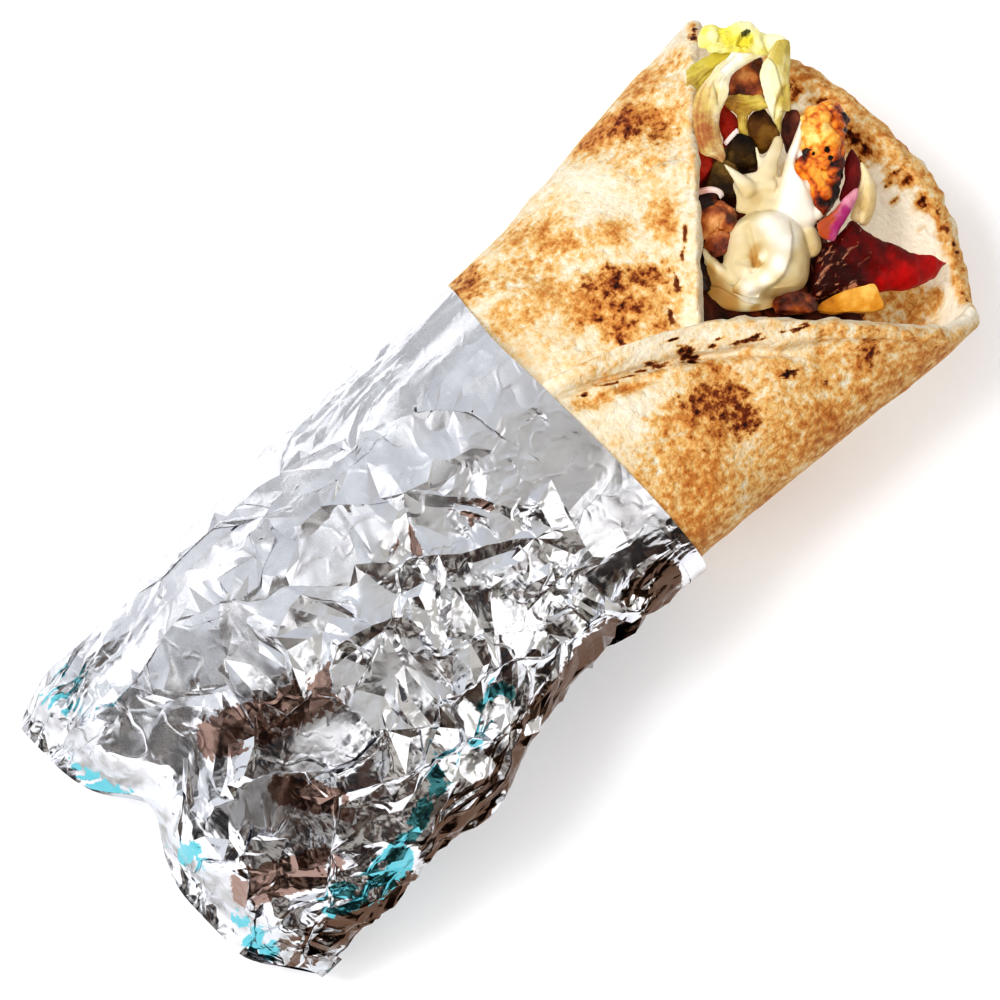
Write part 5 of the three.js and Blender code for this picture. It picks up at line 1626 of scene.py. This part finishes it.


# chopped pieces: two edge lines, height above and below them, colours light, middle and dark, depth and
# size of the lumps and of the grain, and how dark it is at some places; the dark places, and the pickles'
# and tomatoes' dark colours, are partly painted shade where they lie under the lettuce and the flap
chopped = {
    "redPepper": {
        "left": [(75.2, -10.8, 31.4), (79.3, -9.5, 31.8), (81.2, -11, 32.4), (85.4, -10.6, 32.6),
                 (87, -11, 32.6), (86.8, -14.3, 32.2), (88.2, -17.5, 31.4), (90.7, -21.9, 29.4),
                 (93.9, -26.2, 27), (95.2, -28.1, 25.6), (96.3, -29.5, 24.6)],
        "right": [(74.2, -12, 31), (70.1, -16.2, 30.4), (73.7, -18.5, 30.8), (77.3, -21.4, 30.6),
                  (80.9, -24.5, 29.8), (83.9, -26.6, 28.6), (86.9, -28.6, 27.4), (91.8, -29.9, 25.6),
                  (93.9, -29.9, 25), (96.2, -29.7, 24.6)],
        "top": [1.5, 2.6, 3, 2.8, 2.6, 2.4, 2, 1.2],
        "under": 2.6,
        "colours": ((184, 16, 14), (124, 14, 12), (58, 20, 16)),
        "relief": (0.55, 3.4, 0.2, 1.1),
        "square": 2.4,
        "dark": [(92.7, -28.1, 0), (87.5, -25.7, 0.1), (83.1, -24.1, 0.1), (89.7, -22.1, 0.5),
                 (87.2, -18.6, 0.75), (82.7, -18.6, 0.85), (83.6, -13.4, 0.8), (78.5, -14.3, 1),
                 (73.2, -15.4, 1), (78.6, -20.8, 0.9), (82.9, -20.7, 0.6), (86.5, -21.6, 0.35)],
        "node": "red_pepper_strip",
        "slot": "red_pepper",
        "smear": (206, 152, 120),  # sauce wiped over it where it leaves the meat
    },
    "yellowPepper": {
        "left": [(69.3, -17.9, 31), (73.3, -18.8, 31.6), (76.9, -20.6, 32), (80.2, -22.6, 32.6),
                 (80.6, -23.8, 32.2)],
        "right": [(69, -18.9, 30.4), (71.1, -21.3, 30.6), (73.7, -23.7, 30.8), (76.6, -26.5, 30.6),
                  (79.3, -27.9, 30.4)],
        "top": 0.6,
        "under": 1.6,
        "colours": ((240, 200, 116), (218, 154, 54), (150, 88, 24)),
        "relief": (0.4, 3, 0.1, 1),
        "square": 5.5,
        "dark": [(79.2, -23.3, 0.1), (75.2, -21.8, 0.4), (71.3, -19.4, 0.7), (79.1, -26.3, 0.5)],
        "node": "yellow_pepper",
        "slot": "yellow_pepper",
    },
    "tomatoUpper": {
        "left": [(85.3, 24, 34.6), (83.2, 22.9, 35), (80.9, 20.4, 35.2), (79.5, 17.8, 34.8)],
        "right": [(85.8, 23.3, 34.6), (85.2, 20.2, 35), (83.9, 18.2, 35), (79.9, 17.3, 34.8)],
        "top": 1.2,
        "under": 2.4,
        "colours": ((186, 62, 28), (140, 28, 12), (84, 14, 8)),
        "relief": (0.4, 2.2, 0.16, 0.8),
        "square": 3.2,
        "dark": [(84.1, 22.9, 0.5), (84, 20, 0.6), (80.9, 18.4, 0.4)],
        "node": "tomato_slice_upper",
        "slot": "tomato",
    },
    "tomatoLower": {
        "left": [(74.5, 21.1, 34.8), (72.2, 20.1, 35), (70, 18.1, 35), (68.7, 16.1, 34.6)],
        "right": [(74.9, 19.7, 35), (75.5, 17.3, 35), (73.6, 16, 35), (69.5, 15.3, 34.6)],
        "top": 1.2,
        "under": 2.4,
        "colours": ((204, 74, 40), (164, 38, 22), (96, 16, 10)),
        "relief": (0.4, 2.2, 0.16, 0.8),
        "square": 3.2,
        "dark": [(73.3, 19.6, 0.4), (73.4, 17.1, 0.3), (69.9, 16.5, 0.5)],
        "node": "tomato_slice_lower",
        "slot": "tomato",
    },
    "pickleUpper": {
        "left": [(88.5, 18.9, 34), (86.4, 18.1, 34.6), (84.9, 16.6, 34.8), (83.9, 14.8, 34.4),
                 (83.9, 11.9, 33.6)],
        "right": [(90.9, 17.4, 34.4), (90.2, 16, 34.8), (89.6, 13.9, 34.8), (89, 11.7, 34.4),
                  (86.5, 10.4, 33.8)],
        "top": 1.2,
        "under": 2.6,
        "colours": ((140, 106, 44), (98, 64, 24), (42, 20, 10)),
        "relief": (0.5, 2.4, 0.2, 0.9),
        "square": 3.6,
        "dark": [(89.4, 17.6, 1.1), (89.6, 15.6, 0.8), (86.1, 16.1, 0.6), (86.9, 13.6, 0.25),
                 (86.6, 11.5, 0.35)],
        "node": "pickle_upper",
        "slot": "pickle",
    },
    "pickleMiddle": {
        "left": [(82.4, 17.8, 35), (79.6, 17.2, 35.4), (77.4, 15.8, 35.4), (76.9, 13.5, 34.6)],
        "right": [(83.7, 17.1, 35), (84, 14.9, 35.2), (83.2, 12.5, 35.2), (81.3, 10, 34.6)],
        "top": 1.5,
        "under": 2.6,
        "colours": ((116, 92, 36), (64, 46, 20), (26, 14, 10)),
        "relief": (0.45, 2.4, 0.2, 0.9),
        "square": 2.8,
        "dark": [(82.7, 16.2, 1), (79.7, 15.1, 0.5), (80.2, 12.2, 0.4), (82.6, 12.8, 0.8),
                 (78.6, 12.3, 0.6)],
        "node": "pickle_middle",
        "slot": "pickle",
    },
    "pickleLower": {
        "left": [(75.8, 16.5, 35), (72.8, 15.8, 35.2), (70.7, 14.2, 35), (70.8, 11.8, 34.4)],
        "right": [(77.4, 15.2, 35), (77.8, 12.7, 35), (76.3, 10.5, 34.8), (73.1, 9, 34.2)],
        "top": 1.3,
        "under": 2.4,
        "colours": ((146, 118, 62), (88, 66, 30), (42, 26, 12)),
        "relief": (0.45, 2, 0.2, 0.9),
        "square": 2.8,
        "dark": [(75.4, 14.7, 0.3), (72.5, 14.1, 0.6), (75.5, 12.6, 0.4), (73.2, 10.8, 0.9),
                 (71.5, 12.5, 0.8)],
        "node": "pickle_lower",
        "slot": "pickle",
    },
    "brownOnion": {
        "left": [(93.6, 14.3, 34.6), (91.4, 13.3, 35), (89.5, 11.6, 35), (87.5, 8.1, 34.2)],
        "right": [(95.1, 12.5, 34.8), (93.9, 10.5, 35), (91.5, 9, 34.8), (87.9, 7.4, 34.2)],
        "top": 1,
        "under": 2.4,
        "colours": ((138, 84, 62), (98, 52, 40), (54, 26, 20)),
        "relief": (0.3, 3, 0.1, 0.8),
        "square": 3.4,
        "dark": [(93.1, 13.3, 0.7), (93.6, 11.6, 0.3), (90.5, 11.2, 0.9), (91.5, 10.2, 0.4),
                 (88.4, 8.6, 0.8)],
        "node": "onion_slice_brown",
        "slot": "red_onion",
    },
    "darkOnion": {
        "left": [(96.7, -0.6, 35), (94.1, -1.7, 35.4), (91.3, -4.1, 35.6), (88.8, -5.3, 35),
                 (87.8, -5.9, 34.4), (87.6, -6.6, 34)],
        "right": [(96.9, -0.8, 35), (96.1, -3.5, 35), (94.6, -5.4, 35), (91.8, -7.3, 34.8),
                  (89.6, -7.6, 34.4), (87.7, -7.1, 34)],
        "top": 1.1,
        "under": 1.8,
        "colours": ((142, 44, 40), (108, 22, 24), (56, 10, 14)),
        "relief": (0.3, 3, 0.06, 0.8),
        "square": 2.3,
        "dark": [(94.5, -2.1, 0.6), (93.9, -5, 0.3), (91.7, -5.1, 0.5), (88.9, -6.3, 0.6),
                 (90.8, -7.1, 0.4)],
        "node": "onion_slice_dark",
        "slot": "red_onion",
    },
}


def choppedFinish(name, colours, smear=None):
    f = Finish(name)
    fleck = f.noise(1.2, 4, 0.6, 0.4)
    broad = f.noise(3.2, 3, 0.55)
    fine = f.noise(0.45, 2, 0.5)
    # partly painted shade: the dark mark darkens places that lie under other pieces
    depth = f.mark("dark") + (fleck - 0.5) * 0.7 + (broad - 0.5) * 0.7
    colour = f.tint(depth, list(zip((0, 0.5, 1), colours)))
    if smear:
        wiped = f.noise(1.5, 3, 0.6, 1, where=f.stretched((0.4, 1, 1)))
        wiped = (wiped + (f.mark("dark") - 1) * 0.22).step(0.53, 0.66)
        colour = f.mix(colour, rgb(*smear), wiped * 0.8)
    normal = f.bump(fleck * 0.4 + broad * 0.5 + fine * 0.1, 0.3, 0.7)
    return f.surface(colour, coat=(0.12, 0.16), Roughness=0.5, Specular_IOR_Level=0.25, Normal=normal)


def buildChopped(name, item, seed):
    lump, lumpSize, grain, grainSize = item["relief"]

    def relief(grid, _):
        return lump * drift(grid, lumpSize, seed) + grain * drift(grid, grainSize, seed + 1)

    sides = [item[key] for key in ("left", "right", "top", "under")]
    points, faces = slab(*sides, square=item["square"], relief=relief)
    dark = knotted(points, item["dark"]) + 0.1 * drift(points, 2.6, seed + 2)
    shape = points, faces, {"dark": np.clip(dark, 0, 1.2)}
    finish = choppedFinish(name, item["colours"], item.get("smear"))
    addPiece(name, shape, finish, item["node"])


# onion leaves, made as the lettuce is
onions = {
    "magentaOnion": {
        "leaves": [
            ([(79.7, -7.6, 36.4), (81.1, -7, 36.8), (84.3, -7.4, 37.2), (87.9, -7.1, 37.4),
              (89.3, -7.2, 37), (91.2, -7.4, 36.4)],
             [(79.6, -8, 36.2), (79.3, -9.6, 36.2), (80.3, -11.5, 36.2), (82.4, -10.8, 36.6),
              (85.1, -10.2, 36.8), (88.4, -9.2, 36.8), (91.1, -7.8, 36.4)],
             {"thickness": 1, "arch": 0.7, "ruffle": 0.1}),
        ],
        "folds": [([(88.2, -7.8), (85.2, -8.4), (82.4, -8.4), (80.2, -8.3)], 0.35, 1)],
        "pale": [(87.9, -7.5, 0.7), (89.3, -7.8, 0.9), (84.7, -7.8, 0.5), (83.5, -10.1, 0),
                 (81.1, -10.7, 0.2), (86, -9.1, 0.1), (87.8, -9, 0.6), (80.6, -8.4, 0.2)],
        "brown": [(80.6, -7.9, 1), (82.4, -7.9, 0.95), (79.7, -9.3, 0.9), (84.7, -7.8, 0.6),
                  (82.6, -10.4, 0), (85.5, -9.2, 0), (88.1, -8.4, 0), (80.8, -11, 0.25)],
        "colours": ((172, 38, 116), (232, 168, 182), (184, 90, 48)),
        "node": "onion_strip_pink",
        "slot": "red_onion",
    },
    "whiteOnion": {
        "leaves": [
            ([(96, -4, 34.2), (92.8, -6.9, 34), (90, -8.8, 33.6), (87.2, -10.2, 33), (87.4, -12, 32.4)],
             [(96.2, -4.2, 34), (95.9, -7.1, 33.4), (94.5, -10, 33), (91.6, -12.5, 32.4),
              (88.8, -13.4, 31.8), (87.4, -12.5, 32)],
             {"thickness": 0.8, "arch": 1.3, "ruffle": 0.1}),
        ],
        "folds": [([(89.9, -11.9), (89.9, -10.2), (90.9, -8.8), (93.1, -8), (94.8, -6.9)], 0.6, 1.6)],
        "pale": [(94.5, -7.1, 0.6), (93.1, -9.8, 0.3), (90.2, -10.2, 0.1), (88.3, -11.6, 0.5),
                 (90, -12.2, 0.2)],
        "brown": [(89.8, -10.6, 0.35), (94.1, -8.2, 0), (91.9, -11.5, 0.25), (88.6, -10.2, 0.3)],
        "colours": ((226, 202, 144), (246, 232, 196), (184, 140, 84)),
        "node": "onion_petal_white",
        "slot": "white_onion",
    },
    "palePinkOnion": {
        "leaves": [
            ([(67.8, 15.2, 36.4), (69.2, 14.4, 37.4), (70.7, 13.1, 37.6), (71.6, 11.5, 37),
              (71.5, 10.4, 36.2)],
             [(67.5, 14.3, 36.4), (68.5, 13.5, 37.2), (69.9, 12.5, 37.4), (70.6, 11.5, 37),
              (70.4, 10.4, 36.2)],
             {"thickness": 0.7, "arch": 0.3}),
            ([(79.2, 18, 36), (81.2, 18.2, 36.4), (83.3, 18.2, 36.4)],
             [(79.2, 17.4, 36), (81.1, 17.5, 36.4), (83.1, 17.6, 36.4)],
             {"thickness": 0.8, "arch": 0.2}),
        ],
        "folds": [],
        "pale": [(68.5, 14.2, 0.3), (70.9, 12.1, 0.8), (70.8, 10.4, 1), (81, 17.8, 1)],
        "brown": [(69.3, 13.4, 0.3), (71.1, 11, 0), (81, 17.8, 0)],
        "colours": ((214, 166, 148), (242, 226, 222), (176, 98, 76)),
        "node": "onion_sliver",
        "slot": "red_onion",
    },
}


# the imported filling below, seen in the gaps between the pieces; its very dark colours are painted shade
# for those gaps
core = {
    "path": [(-66, 0, 19), (-30, 0, 20), (20, 0, 21), (50, -1, 21), (62, -2, 18.5), (76, -2, 18),
             (84, -3, 17)],
    "width": [44, 62, 64, 64, 62, 54, 34],
    "height": [20, 27, 27, 25, 21, 21, 14],
    "lowest": 4.6,
    "colours": ((122, 60, 30), (70, 30, 14), (26, 12, 8)),
}


def coreRelief(local):
    return 1.1 * drift(local, 5, 141) + 0.6 * drift(local, 2.2, 142) + 0.2 * drift(local, 0.9, 143)


def buildCore():
    sides = [core[key] for key in ("path", "width", "height")]
    points, faces = chunk(*sides, square=2.6, ends=(0.1, 0.06), rings=170, around=150, relief=coreRelief)
    points[:, 2] = np.maximum(points[:, 2], core["lowest"])
    return points, faces, {"dark": np.clip(0.55 + 0.6 * drift(points, 3.2, 144), 0, 1.2)}


def buildFilling():
    addPiece("garlicSauce", buildSauce(), sauceFinish(), "garlic_sauce")
    meat = meatFinish("roastTurkey", turkey["stops"])
    addPiece("turkeyStrip", buildTurkey(), meat, "turkey_strip")
    meat = meatFinish("shreddedTurkey", shreds["stops"])
    addPiece("turkeyShreds", buildShreds(), meat, "turkey_curl")
    for index, (name, item) in enumerate(lettuce.items()):
        buildLeaves(name, item, 20 + 7 * index)
    for index, (name, item) in enumerate(chopped.items()):
        buildChopped(name, item, 110 + 5 * index)
    for index, (name, item) in enumerate(onions.items()):
        buildLeaves(name, item, 60 + 7 * index, rough=0.3)
    finish = choppedFinish("packedFilling", core["colours"])
    addPiece("packedFilling", buildCore(), finish, "filling_core")


# light, floor and camera
stage = {
    "aim": (-2.4, -0.2, 25),
    "azimuth": -45,
    "elevation": 80,
    "distance": 620,
    "sensor": 36,
    "pixelsPerMm": 5,
    "pictureWidth": 1000,  # pixels
    "floor": (248, 250, 254),
    "floorHalf": 1.6,  # metres
    "behind": (240, 240, 240),  # what the camera sees past the floor
    # name: way to it, size in metres, watts, colour, shown in reflections, casts shadows
    "lamps": {
        "keyLamp": ((-0.35, 0.5, 1.1), 0.4, 4.4, (1, 0.98, 0.96), False, True),
        "fillLamp": ((0.5, -0.7, 1), 1, 1.8, (0.97, 0.98, 1), True, False),
        "mouthLamp": ((-1, -0.1, 0.9), 0.8, 8, (1, 0.98, 0.95), False, False),
    },
    "lampDistance": 1.1,
    # the sky from the foil's right side over the top to its left side
    "sky": [
        (0, (120, 112, 104)),
        (0.12, (206, 202, 194)),
        (0.26, (244, 240, 232)),
        (0.4, (230, 226, 219)),
        (0.5, (216, 213, 208)),
        (0.6, (236, 235, 234)),
        (0.74, (240, 243, 248)),
        (0.88, (244, 247, 252)),
        (1, (206, 206, 206)),
    ],
    "darkPatches": [
        (0.36, (30, 32, 44)),
        (0.46, (48, 38, 36)),
        (0.54, (112, 82, 70)),
        (0.64, (46, 42, 44)),
    ],
}


def setCamera():
    az, el = math.radians(stage["azimuth"]), math.radians(stage["elevation"])
    back = Vector((math.sin(az) * math.cos(el), -math.cos(az) * math.cos(el), math.sin(el)))
    aim = Vector((np.array(stage["aim"]) + rollZero).tolist())
    lens = bpy.data.cameras.new("viewCamera")
    lens.sensor_width = stage["sensor"]
    lens.lens = stage["sensor"] * stage["pixelsPerMm"] * stage["distance"] / stage["pictureWidth"]
    lens.clip_start = 0.01
    camera = bpy.data.objects.new("viewCamera", lens)
    camera.location = (aim + back * stage["distance"]) * mm
    camera.rotation_euler = back.to_track_quat("Z", "Y").to_euler()
    bpy.context.scene.collection.objects.link(camera)
    bpy.context.scene.camera = camera


def addLamp(name, toward, size, energy, colour, mirrored, shades):
    lamp = bpy.data.lights.new(name, "AREA")
    lamp.shape, lamp.size, lamp.energy, lamp.color = "DISK", size, energy, colour
    holder = bpy.data.objects.new(name, lamp)
    away = Vector(toward).normalized()
    holder.location = away * stage["lampDistance"]
    holder.rotation_euler = away.to_track_quat("Z", "Y").to_euler()
    holder.visible_glossy = mirrored
    lamp.use_shadow = shades
    bpy.context.scene.collection.objects.link(holder)


def addFloor():
    half = stage["floorHalf"]
    mesh = bpy.data.meshes.new("floor")
    corners = [(x * half, y * half, -0.0002) for x, y in ((-1, -1), (1, -1), (1, 1), (-1, 1))]
    mesh.from_pydata(corners, [], [(0, 1, 2, 3)])
    mesh.materials.append(Finish("palePaint").surface(rgb(*stage["floor"]), Roughness=0.6))
    floor = bpy.data.objects.new("floor", mesh)
    bpy.context.scene.collection.objects.link(floor)


def setSky():
    w = Finish("studioSky", world=True)
    direction = w.node("ShaderNodeTexCoord", output="Generated")

    def toward(*way):
        # 1 in the direction given, 0 at right angles to it
        return w.vectors("DOT_PRODUCT", direction, tuple(unit(np.array(way))), "Value")

    def cloud(scale, detail=1):
        values = {"Vector": direction, "Scale": scale, "Detail": detail, "Roughness": 0.5}
        return w.node("ShaderNodeTexNoise", {}, values)

    blotch, shade = cloud(3.8), cloud(4.2)
    sky = w.tint(toward(0, 1, 0) * 0.5 + 0.5 + (shade - 0.5) * 0.1, stage["sky"])
    sky = w.mix(sky, (2.4, 2.4, 2.4), toward(-0.35, 0.5, 1.1).step(0.9, 1))
    # duller past the foil's end and low on its right, brighter on its left
    ends = toward(-0.92, -0.25, 0.3).step(0.72, 0.95)
    sky = w.mix(sky, rgb(128, 126, 124), ends * (shade * 2 - 0.4).least(0.85))
    side = toward(-0.25, -0.97, 0.1).step(0.8, 0.95)
    sky = w.mix(sky, rgb(104, 86, 70), side * (shade * 2.4 - 0.5).least(0.85))
    sky = w.mix(sky, (1.1, 1.12, 1.16), toward(-0.5, 0.8, 0.35).step(0.7, 0.95) * 0.75)
    # small dark patches, which the foil's facets pick up
    patch = (blotch + toward(-0.62, -0.5, 0.62) * 0.34).step(0.725, 0.78)
    dark = w.tint(cloud(2.6, 0), stage["darkPatches"])
    sky = w.mix(sky, dark, patch * 0.95)
    camera = w.node("ShaderNodeLightPath", output="Is Camera Ray")
    shown = w.mix(sky, rgb(*stage["behind"]), camera)
    background = w.node("ShaderNodeBackground", {}, {"Color": shown, "Strength": 0.8})
    w.node("ShaderNodeOutputWorld", {}, {"Surface": background})


setCamera()
addFloor()
setSky()
for name, lamp in stage["lamps"].items():
    addLamp(name, *lamp)
view = bpy.context.scene.view_settings
view.view_transform, view.look, view.exposure = "Standard", "High Contrast", -0.5
print("camera, light and floor set")

addPiece("rolledFlatbread", buildBread(), breadFinish(), "flatbread")
*foilShape, crispSides = buildFoil()
addPiece("crumpledFoilWrap", foilShape, foilFinish(), "foil_wrap", crispSides)
buildFilling()
print("filling made")
